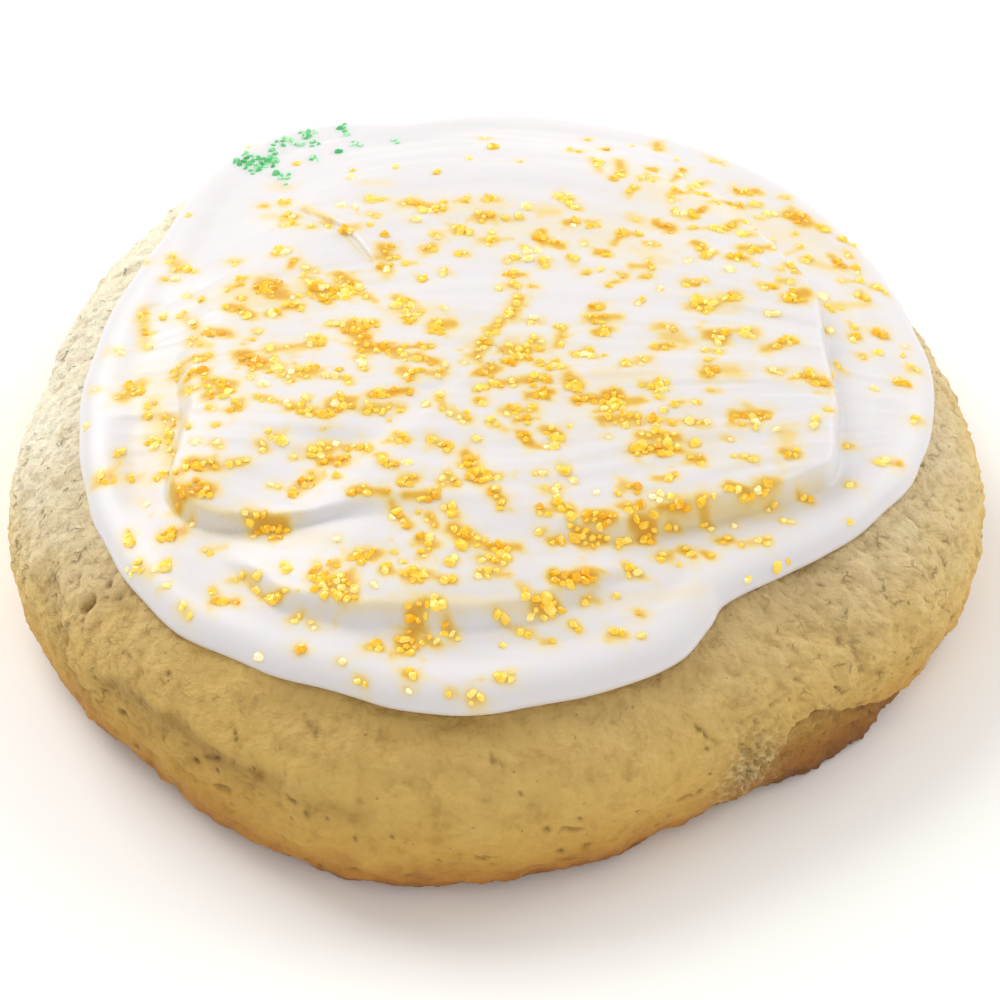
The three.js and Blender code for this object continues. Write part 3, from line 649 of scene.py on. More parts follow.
def icing_thickness(bearing, rho):
    """How thick the icing is at a bearing and a distance from the middle."""
    x, y = rho * np.cos(np.radians(bearing)), rho * np.sin(np.radians(bearing))
    flat = np.stack([x, y, 0 * x], axis=-1)
    lip_start = icing_edge(bearing) - LIP
    wander = FOOT_WANDER[1] * lumps(flat, FOOT_WANDER[0])
    run = through(SLAB_RUN, bearing)
    foot = slab_foot(bearing) + wander
    out = ease(rho, 0, SLAB_MIDDLE_REACH)
    level = SLAB_MIDDLE * (1 - out) + through(SLAB_STEP, bearing) * out
    slab = level * (1 - ease(rho, foot - run, foot))
    tier_foot = tier_edge(bearing) + OFF_BEAD + wander
    tier = TIER_STEP * stretch(bearing, TIER_FROM, TIER_TO, TIER_FADE) * out
    tier *= 1 - ease(rho, tier_foot - TIER_RUN, tier_foot)
    bead = BEAD_RISE * ease(rho, lip_start - BEAD_RUN, lip_start)
    thickness = FILM + slab + tier + bead
    inside = 1 - ease(rho, lip_start - STREAKS_OFF_EDGE, lip_start)
    for long, wide, rise in STREAKS:
        bent = y + STREAK_BEND * x**2 * np.clip(y / STREAK_TURN, -1, 1)
        strokes = lumps(np.stack([x / long, bent / wide, 0 * x], axis=-1), 1.0, 2)
        thickness += rise * strokes * inside
    thickness += SWELL_RISE * lumps(flat, SWELL_WIDTH) * inside
    side, beside = line_side(x, y, FLAP_LINE)
    flap = beside * ease(side, -FLAP_EDGE, FLAP_EDGE) * (1 - ease(side, FLAP_FADES, FLAP_ENDS))
    thickness += FLAP_RISE * flap
    scrape = ((x - SCRAPE[0]) / SCRAPE[3]) ** 2 + ((y - SCRAPE[1]) / SCRAPE[2]) ** 2
    return thickness - SCRAPE[4] * np.exp(-scrape)


def above(bearing, rho, rise):
    """Points a rise above the biscuit's smooth surface, square to it."""
    way = way_at(bearing, rho)
    return profile(bearing, way) + outward(bearing, way) * np.asarray(rise)[:, None]


icing, bearing, ring = ball_start("icing_spread", ICING_SEGMENTS, RINGS_TOP + RINGS_LIP + RINGS_UNDER)
edge = icing_edge(bearing)
lip_start = edge - LIP
top_rho = lip_start * np.minimum(ring / RINGS_TOP, 1)
top_rise = icing_thickness(bearing, top_rho)
lip_rise = icing_thickness(bearing, lip_start)
lip_share = np.clip((ring - RINGS_TOP) / RINGS_LIP, 0, 1)
turn = np.radians(LIP_TURN[0] + (LIP_TURN[1] - LIP_TURN[0]) * lip_share)
upper = turn >= 0
lip_run = np.where(upper, LIP, LIP * UNDERCUT)
waist_to = np.where(upper, lip_rise * (1 - LIP_WAIST), lip_rise * LIP_WAIST)
lip_rho = edge - lip_run * (1 - np.cos(turn))
rise = lip_rise * LIP_WAIST + waist_to * np.sin(turn)
on_top = ring <= RINGS_TOP
points = np.where(on_top[:, None], above(bearing, top_rho, top_rise), above(bearing, lip_rho, rise))
under_share = np.clip((ring - RINGS_TOP - RINGS_LIP) / RINGS_UNDER, 0, 1)
under = above(bearing, (edge - LIP * UNDERCUT) * (1 - under_share), np.full(len(bearing), SUNK))
points = np.where((under_share > 0)[:, None], under, points)
shape_to(icing, points)


# The sugar
# Coarse clear crystals dyed amber and yellow, with a pinch of green at the back left. They lie where
# the shaker dropped them, pressed into the soft icing, which takes up their dye and smears under the blade.

# The camera of the picture: its height above level, how far off it is, where it aims, its focal length
ELEVATION = math.radians(45)
DISTANCE = 400.0
AIM = np.array([1.0, 0.0, 3.2])
FOCAL_PIXELS, PICTURE_PIXELS = 4272.0, 1000.0
RIGHTWARDS = np.array([1.0, 0.0, 0.0])
UPWARDS = np.array([0.0, math.sin(ELEVATION), math.cos(ELEVATION)])
BACKWARDS = np.array([0.0, -math.cos(ELEVATION), math.sin(ELEVATION)])
PIXELS_PER_MM = FOCAL_PIXELS / DISTANCE
# How the place under a pixel is found: the steps, the share of each that is taken, the farthest place
SIGHT_STEPS, SIGHT_STEP, SIGHT_REACH = 40, 0.7, 50
# How far the grains keep from the icing's edge
CLEAR_OF_EDGE = 0.7
# Clusters of amber sugar as the picture shows them, in its pixels: from one point to another, half as wide
# as the fifth number, and how strongly the dye ran there
AMBER_CLUSTERS = [
    # Back left
    (171, 258, 178, 270, 5, 0.55), (185, 271, 194, 272, 4, 0.4), (162, 279, 177, 279, 3, 0.35),
    (229, 261, 239, 262, 4, 0.45), (260, 206, 267, 207, 3, 0.6), (281, 204, 288, 205, 4, 0.45),
    (283, 217, 297, 217, 4, 0.6), (281, 225, 297, 225, 3, 0.55), (308, 227, 315, 227, 3, 0.4),
    (322, 222, 331, 225, 3, 0.6), (276, 255, 289, 250, 4, 0.45), (290, 267, 295, 260, 3, 0.85),
    (304, 265, 316, 272, 4, 0.4), (302, 278, 314, 278, 3, 0.5), (262, 285, 280, 294, 9, 0.95),
    (240, 281, 246, 278, 4, 0.6), (228, 287, 234, 287, 4, 0.55), (238, 298, 245, 299, 3, 0.75),
    (230, 306, 252, 315, 5, 0.85), (267, 315, 278, 314, 4, 0.65), (284, 309, 302, 305, 4, 0.65),
    (293, 294, 294, 300, 4, 0.4), (314, 289, 326, 294, 7, 0.7), (325, 302, 331, 302, 3, 0.75),
    (144, 311, 145, 346, 5, 0.45), (165, 316, 165, 321, 3, 0.35), (182, 316, 198, 329, 4, 0.5),
    (207, 331, 230, 334, 4, 0.9), (187, 296, 192, 297, 3, 0.4), (200, 298, 204, 301, 3, 0.45),
    (246, 339, 254, 339, 3, 0.4), (255, 331, 260, 331, 3, 0.55), (190, 340, 208, 346, 5, 0.5),
    (146, 259, 148, 264, 2, 0.25), (108, 352, 120, 352, 4, 0.25), (243, 146, 251, 147, 2, 0.3),
    # Left
    (241, 353, 260, 365, 7, 1.0), (268, 352, 318, 340, 4, 0.65), (270, 362, 290, 376, 8, 0.45),
    (300, 372, 315, 372, 7, 0.75), (316, 376, 336, 378, 3, 0.4), (175, 375, 184, 364, 6, 0.6),
    (190, 360, 209, 357, 5, 0.7), (188, 378, 206, 372, 5, 0.75), (181, 391, 196, 390, 4, 0.55),
    (207, 383, 232, 384, 6, 0.8), (205, 396, 232, 390, 4, 0.85), (231, 411, 242, 400, 5, 0.65),
    (209, 407, 214, 410, 4, 0.35), (123, 398, 138, 386, 7, 0.75), (146, 417, 152, 403, 4, 0.55),
    (164, 418, 175, 420, 5, 0.65), (148, 437, 157, 444, 6, 0.4), (166, 425, 172, 455, 5, 0.5),
    (118, 451, 122, 458, 3, 0.35), (92, 390, 99, 391, 3, 0.3), (180, 493, 208, 488, 8, 0.9),
    (176, 474, 190, 466, 4, 0.7), (193, 463, 213, 466, 6, 0.85), (100, 478, 110, 476, 6, 0.7),
    (129, 478, 139, 478, 4, 0.6), (159, 476, 166, 478, 4, 0.65), (229, 462, 245, 463, 4, 0.65),
    (183, 425, 188, 425, 3, 0.4), (212, 425, 218, 424, 3, 0.5), (214, 442, 219, 446, 4, 0.55),
    (190, 441, 198, 441, 3, 0.35), (257, 396, 290, 405, 3, 0.65), (290, 406, 330, 416, 4, 0.8),
    (317, 412, 327, 416, 5, 0.9), (262, 386, 267, 387, 3, 0.4), (248, 377, 252, 379, 3, 0.4),
    # Middle left
    (340, 276, 353, 285, 6, 0.85), (315, 290, 350, 294, 8, 0.5), (358, 291, 375, 301, 4, 0.6),
    (396, 297, 405, 300, 4, 0.7), (397, 309, 420, 311, 8, 0.45), (406, 319, 413, 321, 4, 0.6),
    (435, 325, 452, 324, 7, 0.75), (437, 308, 444, 307, 2, 0.35), (330, 325, 375, 323, 5, 0.6),
    (352, 328, 368, 348, 9, 0.95), (370, 345, 395, 350, 5, 1.0), (395, 348, 430, 346, 3, 0.75),
    (398, 354, 412, 355, 4, 0.65), (418, 356, 437, 362, 4, 0.9), (355, 357, 361, 356, 4, 0.5),
    (360, 367, 368, 369, 4, 0.35), (330, 405, 350, 400, 7, 0.8), (372, 395, 408, 390, 4, 1.0),
    (364, 410, 385, 408, 5, 0.65), (390, 404, 402, 408, 4, 0.6), (403, 370, 412, 376, 6, 0.8),
    (429, 373, 440, 373, 4, 0.65), (343, 378, 349, 382, 4, 0.55), (305, 395, 312, 397, 3, 0.35),
    (444, 365, 449, 368, 3, 0.25), (460, 361, 467, 363, 3, 0.35), (440, 395, 444, 408, 4, 0.6),
    (424, 402, 430, 405, 2, 0.35), (452, 410, 470, 422, 5, 0.45), (270, 436, 281, 435, 4, 0.5),
    (260, 443, 266, 450, 4, 0.65), (292, 457, 297, 458, 3, 0.35), (310, 449, 330, 451, 6, 0.65),
    (328, 446, 352, 447, 4, 0.6), (361, 447, 369, 449, 5, 0.75), (376, 455, 384, 457, 4, 0.6),
    (387, 462, 393, 463, 4, 0.8), (403, 464, 408, 465, 4, 0.15), (322, 462, 345, 460, 5, 0.95),
    (397, 437, 408, 441, 4, 0.5), (405, 479, 417, 479, 4, 0.7), (384, 442, 402, 437, 4, 0.5),
    (432, 440, 448, 448, 5, 0.6), (465, 453, 472, 468, 6, 0.85), (301, 486, 313, 478, 6, 0.8),
    (291, 492, 297, 493, 4, 0.6), (267, 487, 280, 488, 3, 0.35), (336, 478, 340, 477, 3, 0.5),
    # Back
    (412, 203, 442, 208, 6, 0.7), (399, 203, 411, 199, 3, 0.5), (454, 202, 468, 198, 3, 0.5),
    (484, 200, 498, 200, 4, 0.5), (479, 218, 492, 217, 6, 0.7), (457, 232, 470, 232, 5, 0.7),
    (426, 252, 433, 246, 5, 0.65), (382, 248, 390, 249, 5, 0.75), (377, 258, 397, 256, 3, 0.6),
    (383, 265, 389, 272, 5, 0.65), (367, 200, 388, 199, 3, 0.45), (372, 215, 379, 215, 4, 0.5),
    (346, 228, 357, 226, 4, 0.5), (338, 202, 342, 208, 2, 0.2), (355, 207, 358, 214, 2, 0.3),
    (410, 221, 417, 220, 3, 0.35), (434, 233, 444, 236, 4, 0.4), (447, 224, 462, 227, 2, 0.45),
    (481, 240, 492, 239, 5, 0.55), (492, 239, 513, 239, 2, 0.5), (502, 219, 508, 220, 3, 0.5),
    (514, 219, 524, 218, 3, 0.45), (524, 207, 532, 207, 2, 0.35), (460, 252, 468, 255, 4, 0.4),
    (405, 263, 415, 263, 3, 0.5), (418, 277, 423, 278, 3, 0.35), (441, 271, 450, 273, 4, 0.25),
    (522, 246, 532, 251, 3, 0.5), (527, 256, 534, 258, 3, 0.2), (506, 260, 515, 260, 4, 0.45),
    (540, 232, 543, 241, 5, 0.95), (549, 242, 562, 247, 4, 0.8), (541, 259, 548, 264, 5, 0.35),
    (509, 275, 522, 275, 3, 0.9), (510, 286, 517, 287, 4, 0.75), (530, 286, 537, 287, 3, 0.55),
    (499, 286, 502, 287, 3, 0.3), (559, 195, 572, 200, 4, 0.6), (570, 207, 581, 209, 3, 0.45),
    (568, 222, 577, 222, 4, 0.85), (588, 222, 595, 223, 4, 0.6), (583, 242, 587, 242, 3, 0.4),
    (597, 252, 607, 252, 4, 0.85), (583, 273, 589, 271, 3, 0.45), (570, 255, 575, 263, 4, 0.4),
    (597, 270, 604, 270, 2, 0.3), (482, 138, 488, 138, 3, 0.35), (583, 139, 592, 139, 2, 0.35),
    (570, 151, 581, 151, 3, 0.5), (600, 149, 607, 148, 3, 0.5), (593, 158, 600, 171, 4, 0.5),
    (619, 161, 622, 174, 5, 0.75), (610, 178, 615, 178, 2, 0.7), (657, 143, 659, 149, 4, 0.75),
    (706, 156, 726, 166, 2, 0.35), (516, 161, 523, 160, 3, 0.2),
    # Back right
    (639, 177, 657, 178, 5, 0.45), (648, 169, 655, 169, 3, 0.9), (629, 193, 637, 188, 4, 0.6),
    (672, 181, 684, 170, 3, 0.7), (671, 194, 687, 193, 4, 0.65), (671, 200, 679, 200, 3, 0.5),
    (690, 187, 708, 182, 4, 0.5), (690, 192, 708, 194, 4, 0.5), (709, 202, 718, 202, 4, 0.55),
    (692, 216, 705, 207, 4, 0.75), (673, 213, 685, 218, 4, 0.4), (655, 224, 672, 229, 4, 1.0),
    (690, 229, 718, 228, 3, 0.5), (696, 242, 703, 250, 4, 0.95), (703, 256, 717, 253, 3, 0.5),
    (683, 259, 693, 259, 3, 0.25), (614, 244, 622, 232, 4, 0.65), (622, 230, 638, 235, 3, 0.6),
    (644, 243, 653, 243, 3, 0.6), (632, 265, 650, 267, 4, 0.7), (640, 277, 650, 276, 3, 0.6),
    (617, 273, 627, 276, 3, 0.65), (609, 283, 619, 282, 3, 0.55), (650, 249, 660, 246, 2, 0.4),
    (728, 186, 733, 184, 3, 0.2), (738, 193, 756, 191, 4, 0.85), (724, 202, 742, 208, 4, 0.8),
    (748, 206, 760, 206, 3, 0.5), (728, 229, 745, 221, 4, 0.8), (755, 217, 764, 219, 3, 0.45),
    (779, 197, 786, 197, 3, 0.5), (767, 214, 778, 216, 3, 0.4), (789, 213, 808, 224, 6, 0.85),
    (818, 228, 826, 227, 4, 0.65), (790, 236, 797, 235, 2, 0.45), (742, 235, 756, 235, 3, 0.45),
    (742, 249, 770, 247, 4, 0.7), (770, 247, 800, 248, 2, 0.45), (731, 257, 744, 258, 4, 0.7),
    (754, 263, 759, 264, 2, 0.3), (841, 239, 855, 248, 3, 0.4), (847, 253, 852, 257, 3, 0.55),
    (831, 256, 841, 267, 4, 0.75), (800, 259, 810, 260, 4, 0.5), (789, 265, 799, 272, 4, 0.65),
    (772, 268, 782, 271, 3, 0.35), (760, 284, 775, 288, 4, 0.5), (778, 281, 791, 281, 3, 0.6),
    (840, 281, 862, 281, 2, 0.5), (856, 264, 860, 275, 3, 0.3), (871, 287, 878, 286, 3, 0.55),
    (881, 290, 886, 295, 2, 0.45), (860, 291, 866, 302, 3, 0.55), (790, 298, 806, 293, 6, 0.95),
    (821, 299, 827, 297, 3, 0.45), (826, 306, 840, 309, 4, 0.4), (686, 283, 698, 284, 3, 0.65),
    (702, 280, 708, 283, 3, 0.35), (696, 306, 715, 305, 7, 0.6), (720, 302, 738, 296, 5, 0.6),
    (767, 313, 778, 313, 3, 0.2), (634, 302, 640, 303, 2, 0.25), (725, 270, 735, 270, 2, 0.25),
    (656, 286, 664, 292, 2, 0.2),
    # Middle right
    (512, 318, 518, 298, 6, 0.6), (490, 331, 503, 321, 5, 0.7), (476, 356, 485, 342, 7, 0.75),
    (505, 348, 528, 350, 7, 0.7), (504, 362, 528, 358, 4, 0.75), (533, 341, 541, 344, 5, 0.55),
    (557, 345, 563, 328, 5, 0.6), (574, 354, 588, 352, 5, 0.65), (539, 364, 565, 368, 5, 0.55),
    (482, 372, 493, 369, 6, 0.9), (494, 383, 546, 378, 4, 0.75), (528, 395, 552, 392, 4, 0.9),
    (569, 377, 578, 385, 6, 0.75), (476, 389, 488, 389, 3, 0.6), (476, 400, 483, 400, 4, 0.65),
    (505, 411, 535, 410, 5, 0.6), (514, 421, 538, 418, 3, 0.55), (523, 435, 531, 444, 5, 0.9),
    (545, 430, 560, 434, 5, 0.8), (548, 447, 560, 442, 3, 0.4), (490, 422, 506, 430, 4, 0.45),
    (473, 440, 481, 441, 3, 0.3), (592, 309, 602, 307, 4, 0.7), (592, 319, 616, 317, 5, 0.7),
    (595, 332, 608, 330, 4, 0.85), (531, 321, 541, 323, 4, 0.4), (578, 400, 610, 398, 5, 0.9),
    (605, 393, 620, 395, 4, 1.0), (616, 404, 640, 400, 5, 0.75), (595, 412, 612, 410, 3, 0.7),
    (602, 418, 636, 419, 5, 0.75), (624, 364, 650, 359, 4, 0.5), (656, 328, 672, 326, 4, 0.55),
    (655, 346, 672, 345, 4, 0.85), (641, 384, 664, 385, 4, 0.5), (656, 392, 664, 399, 3, 0.4),
    (674, 403, 682, 402, 3, 0.65), (635, 423, 645, 424, 3, 0.45), (655, 421, 680, 421, 4, 0.45),
    (686, 421, 706, 423, 4, 0.65), (640, 436, 678, 438, 5, 0.75), (634, 450, 662, 449, 6, 0.85),
    (668, 450, 682, 452, 4, 0.7), (693, 446, 697, 444, 3, 0.65), (690, 459, 702, 460, 5, 0.75),
    (600, 437, 609, 436, 3, 0.25), (710, 334, 722, 340, 6, 0.85), (745, 334, 758, 334, 4, 0.5),
    (764, 350, 792, 340, 4, 0.7), (706, 350, 722, 351, 3, 0.5), (704, 373, 716, 372, 5, 0.9),
    (771, 371, 783, 371, 4, 0.5), (790, 379, 802, 377, 3, 0.6), (808, 376, 826, 384, 6, 0.9),
    (709, 390, 718, 392, 3, 0.4), (706, 361, 714, 359, 3, 0.45), (736, 415, 763, 414, 5, 0.9),
    (730, 424, 755, 424, 3, 0.5), (782, 452, 796, 453, 4, 0.8), (722, 438, 730, 438, 3, 0.45),
    (742, 457, 754, 458, 4, 0.5), (692, 401, 699, 403, 3, 0.4), (814, 430, 816, 418, 3, 0.3),
    (775, 428, 781, 428, 2, 0.3),
    # Right
    (826, 331, 829, 332, 3, 0.55), (849, 322, 854, 330, 3, 0.45), (852, 338, 858, 337, 4, 0.65),
    (876, 329, 883, 337, 4, 0.55), (861, 355, 866, 358, 3, 0.55), (872, 354, 877, 355, 3, 0.25),
    (905, 348, 911, 348, 3, 0.2), (837, 367, 843, 370, 3, 0.45), (911, 370, 917, 370, 4, 0.55),
    (901, 383, 907, 384, 4, 0.75), (870, 391, 877, 391, 3, 0.1), (827, 411, 833, 411, 2, 0.6),
    (914, 423, 924, 423, 4, 0.35), (846, 446, 853, 446, 3, 0.6), (876, 461, 888, 459, 3, 0.35),
    (892, 464, 900, 464, 3, 0.65), (847, 485, 853, 484, 3, 0.6),
    # Front
    (447, 474, 453, 484, 5, 0.65), (440, 482, 452, 486, 4, 0.55), (468, 463, 482, 480, 6, 0.9),
    (491, 475, 500, 476, 4, 0.6), (492, 490, 502, 500, 5, 0.8), (497, 506, 512, 510, 2, 0.4),
    (354, 490, 386, 492, 4, 0.85), (405, 495, 434, 494, 4, 0.8), (403, 478, 415, 481, 4, 0.6),
    (391, 502, 398, 518, 4, 0.65), (403, 519, 411, 526, 4, 0.65), (428, 515, 436, 525, 4, 0.75),
    (418, 512, 424, 512, 2, 0.4), (447, 508, 457, 517, 4, 0.65), (452, 528, 468, 540, 7, 0.95),
    (473, 538, 482, 543, 5, 0.7), (488, 548, 518, 547, 4, 0.8), (480, 557, 494, 562, 4, 0.55),
    (498, 570, 510, 558, 4, 0.5), (479, 573, 510, 575, 3, 0.6), (540, 510, 556, 510, 4, 0.65),
    (555, 505, 572, 512, 5, 0.75), (546, 489, 558, 490, 6, 0.45), (537, 473, 546, 472, 4, 0.35),
    (560, 466, 566, 468, 5, 0.4), (539, 533, 545, 530, 3, 0.55), (550, 541, 561, 540, 4, 0.75),
    (574, 528, 580, 538, 4, 0.6), (421, 540, 433, 545, 5, 0.85), (420, 556, 432, 548, 4, 0.5),
    (354, 556, 375, 555, 6, 0.85), (381, 569, 392, 572, 4, 0.7), (408, 578, 428, 575, 6, 0.65),
    (434, 578, 453, 580, 3, 0.65), (449, 560, 454, 561, 4, 0.4), (336, 540, 342, 542, 3, 0.25),
    (332, 568, 336, 563, 4, 0.7), (318, 581, 350, 585, 5, 0.6), (332, 588, 348, 578, 7, 0.9),
    (343, 595, 354, 598, 5, 0.75), (315, 572, 328, 586, 6, 0.8), (371, 583, 376, 583, 3, 0.2),
    (388, 552, 394, 553, 3, 0.35), (399, 561, 407, 562, 3, 0.3), (518, 585, 527, 593, 4, 0.45),
    (556, 580, 590, 573, 6, 1.0), (536, 604, 556, 606, 5, 0.7), (588, 516, 612, 516, 6, 0.95),
    (575, 530, 604, 542, 4, 0.75), (580, 545, 603, 541, 4, 0.7), (620, 506, 642, 508, 4, 0.7),
    (634, 522, 651, 527, 6, 0.9), (640, 540, 652, 540, 4, 0.9), (618, 545, 635, 542, 4, 0.5),
    (655, 495, 670, 499, 3, 0.4), (660, 507, 682, 506, 3, 0.9), (698, 508, 710, 512, 6, 0.65),
    (729, 486, 746, 490, 4, 0.85), (758, 486, 774, 492, 5, 0.65), (769, 500, 772, 507, 4, 0.5),
    (798, 496, 808, 501, 3, 0.7), (670, 528, 680, 530, 4, 0.6), (717, 541, 731, 540, 3, 0.75),
    (730, 525, 737, 528, 3, 0.2), (742, 544, 768, 540, 4, 0.5), (683, 550, 693, 557, 4, 0.75),
    (704, 553, 711, 558, 3, 0.85), (659, 557, 669, 557, 4, 0.7), (626, 567, 641, 577, 4, 0.6),
    (585, 600, 597, 601, 4, 0.55), (638, 612, 643, 616, 3, 0.65), (570, 624, 578, 630, 3, 0.55),
    (613, 636, 625, 636, 4, 0.65), (616, 595, 619, 597, 2, 0.15), (655, 478, 674, 477, 3, 0.65),
    (622, 484, 638, 490, 4, 0.6), (650, 497, 672, 498, 2, 0.4), (780, 519, 790, 522, 4, 0.25),
    (748, 582, 760, 582, 4, 0.35), (640, 637, 643, 637, 2, 0.3),
    # The lower tier and the front lobe
    (414, 612, 425, 600, 6, 0.75), (425, 600, 440, 600, 5, 0.6), (403, 648, 412, 634, 8, 0.95),
    (425, 640, 440, 645, 4, 0.65), (448, 620, 451, 636, 5, 0.55), (367, 647, 382, 648, 4, 0.6),
    (337, 660, 344, 662, 2, 0.35), (357, 677, 364, 681, 4, 0.4), (404, 674, 414, 677, 4, 0.7),
    (404, 688, 409, 689, 2, 0.4), (449, 692, 456, 693, 3, 0.4), (470, 694, 480, 701, 5, 0.4),
    (500, 678, 510, 680, 4, 0.45), (535, 608, 552, 606, 6, 0.7), (498, 616, 512, 629, 3, 0.45),
    (518, 631, 530, 632, 4, 0.45), (544, 643, 552, 643, 3, 0.65), (575, 622, 580, 628, 3, 0.5),
    (293, 619, 300, 617, 4, 0.55), (308, 624, 318, 627, 4, 0.35), (297, 648, 303, 648, 3, 0.6),
    (180, 606, 190, 616, 3, 0.45), (137, 566, 150, 574, 4, 0.45), (157, 570, 167, 562, 4, 0.35),
    (158, 590, 170, 583, 2, 0.35), (127, 533, 132, 546, 4, 0.35), (165, 537, 182, 531, 5, 0.85),
    (185, 524, 193, 521, 3, 0.5), (206, 551, 226, 547, 3, 0.45), (246, 512, 258, 514, 5, 0.6),
    (262, 528, 284, 526, 5, 0.85), (250, 534, 260, 533, 4, 0.45), (276, 540, 288, 532, 3, 0.6),
    (228, 580, 256, 576, 3, 0.5), (213, 601, 237, 602, 3, 0.9), (213, 590, 218, 594, 3, 0.5),
    (250, 585, 262, 597, 2, 0.6), (262, 598, 280, 595, 3, 0.75), (280, 592, 286, 590, 2, 0.5),
    (282, 567, 288, 569, 4, 0.3), (118, 572, 126, 576, 4, 0.25), (138, 500, 146, 505, 2, 0.2),
]
# Dye that ran wider than any grains now show, in the same way, and painted shade on the fronts of the slab
# and the tier, below the slab and in the left trough
HAZES_AND_PAINTED_SHADE = [
    (171, 488, 180, 508, 5, 0.75), (182, 508, 235, 517, 3, 0.3), (240, 518, 300, 516, 3, 0.2),
    (99, 478, 168, 479, 6, 0.28), (265, 350, 318, 345, 7, 0.55), (145, 386, 178, 384, 6, 0.2),
    (720, 331, 755, 331, 5, 0.55), (665, 335, 684, 342, 8, 0.5), (708, 371, 736, 371, 8, 0.5),
    (785, 432, 790, 452, 9, 0.4), (652, 528, 775, 508, 8, 0.3), (775, 500, 820, 488, 5, 0.2),
    (812, 262, 832, 268, 7, 0.4), (630, 218, 642, 220, 7, 0.35), (640, 250, 662, 262, 10, 0.25),
    (700, 300, 735, 300, 9, 0.35), (300, 285, 352, 292, 12, 0.3), (240, 292, 290, 300, 20, 0.3),
    (395, 312, 425, 310, 12, 0.25), (275, 186, 290, 188, 5, 0.25), (265, 216, 292, 218, 5, 0.3),
    (362, 183, 388, 183, 4, 0.22), (540, 212, 556, 212, 8, 0.4), (490, 230, 600, 225, 20, 0.14),
    (400, 205, 500, 207, 12, 0.2), (660, 190, 800, 240, 28, 0.17), (600, 240, 660, 250, 18, 0.15),
    (825, 305, 866, 304, 5, 0.4), (855, 330, 882, 330, 7, 0.25), (560, 600, 700, 590, 7, 0.12),
    (340, 606, 560, 616, 6, 0.22), (250, 590, 330, 625, 5, 0.1), (150, 380, 230, 400, 25, 0.12),
    (480, 340, 560, 360, 25, 0.14), (580, 400, 700, 440, 25, 0.12), (640, 512, 700, 505, 9, 0.4),
    (303, 206, 332, 222, 2, 0.5), (336, 228, 374, 264, 1, 0.3), (150, 400, 172, 462, 9, 0.4),
    (300, 450, 350, 460, 9, 0.25), (185, 532, 330, 540, 9, 0.14), (600, 372, 660, 378, 9, 0.2),
]
GREEN_CLUSTERS = [
    (238, 159, 247, 160, 4, 0.5), (249, 161, 272, 157, 6, 0.7), (249, 170, 256, 170, 4, 0.5),
    (266, 164, 270, 168, 4, 0.5), (274, 153, 280, 150, 3, 0.4), (275, 176, 286, 177, 4, 0.5),
    (273, 142, 282, 141, 4, 0.4), (286, 138, 297, 144, 3, 0.2), (304, 131, 316, 138, 3, 0.4),
    (312, 143, 320, 147, 3, 0.5), (313, 160, 318, 160, 3, 0.4), (337, 151, 341, 151, 2, 0.3),
    (343, 127, 347, 134, 4, 0.5), (347, 144, 358, 145, 3, 0.5), (283, 182, 289, 183, 2, 0.2),
    (390, 143, 396, 142, 3, 0.1),
]
# Grains that fell anywhere, within this distance of the middle
LOOSE_GRAINS, LOOSE_REACH, LOOSE_STRENGTH = 50, 38, 0.4
# The pixels of a cluster for each grain in it, and how far along and across it the grains lie
GRAIN_AREA, GREEN_GRAIN_AREA = 60.0, 28.0
CLUSTER_ENDS, ALONG, ACROSS = 1.5, (-0.08, 1.08), (-0.9, 0.9)
GRAIN_RADIUS, GREEN_GRAIN_RADIUS = (0.38, 0.7), (0.38, 0.58)
FEW_LARGE_GRAINS, GRAIN_SINK = 1.4, -0.3
GRAIN_SPACING, SETTLINGS, SETTLING = 0.68, 8, 0.4
# How the crystals broke: how many kinds there are, their bevels, how far their corners and sides vary
CRYSTALS, CRYSTAL_SIZE, CRYSTAL_BEVELS = 10, 1.5, (0.3, 0.5)
CRYSTAL_CORNERS, CRYSTAL_SIDES = (0.75, 1.15), (0.6, 1.35)
# A grain's tone from its cluster's strength: the palest, how much darker, how uneven
TONE_PALEST, TONE_DEPTH, TONE_SPREAD = 0.95, 0.75, 0.2
# The painted glints in the grains: how wide they are and how far they shift the tone
GLINT_SIZE, GLINT_SHIFT = 0.5, 0.9
SEED = 29


def on_icing(places, rise):
    """Points on the icing over places on the plan, out to the nose of its lip."""
    bearing = np.degrees(np.arctan2(places[:, 1], places[:, 0])) % 360
    edge = icing_edge(bearing)
    rho = np.minimum(np.hypot(*places.T), edge - CLEAR_OF_EDGE)
    over_lip = np.clip((rho - edge + LIP) / LIP, 0, 1)
    rounding = LIP_WAIST + (1 - LIP_WAIST) * np.sqrt(1 - over_lip**2)
    return above(bearing, rho, icing_thickness(bearing, np.minimum(rho, edge - LIP)) * rounding + rise)


def pictured(points):
    """The pixels at which points show in the picture."""
    off = points - AIM - BACKWARDS * DISTANCE
    zoom = FOCAL_PIXELS / -(off @ BACKWARDS)
    return PICTURE_PIXELS / 2 + np.stack([off @ RIGHTWARDS * zoom, -(off @ UPWARDS) * zoom], axis=-1)


def seen_at(pixels):
    """The places on the plan where the icing shows at some pixels."""
    places = np.zeros((len(pixels), 2))
    per_mm = np.array([1, -math.sin(ELEVATION)]) * PIXELS_PER_MM
    for _ in range(SIGHT_STEPS):
        places += SIGHT_STEP * (pixels - pictured(on_icing(places, 0))) / per_mm
        places *= np.minimum(1, SIGHT_REACH / np.maximum(np.hypot(*places.T), 1))[:, None]
    return places


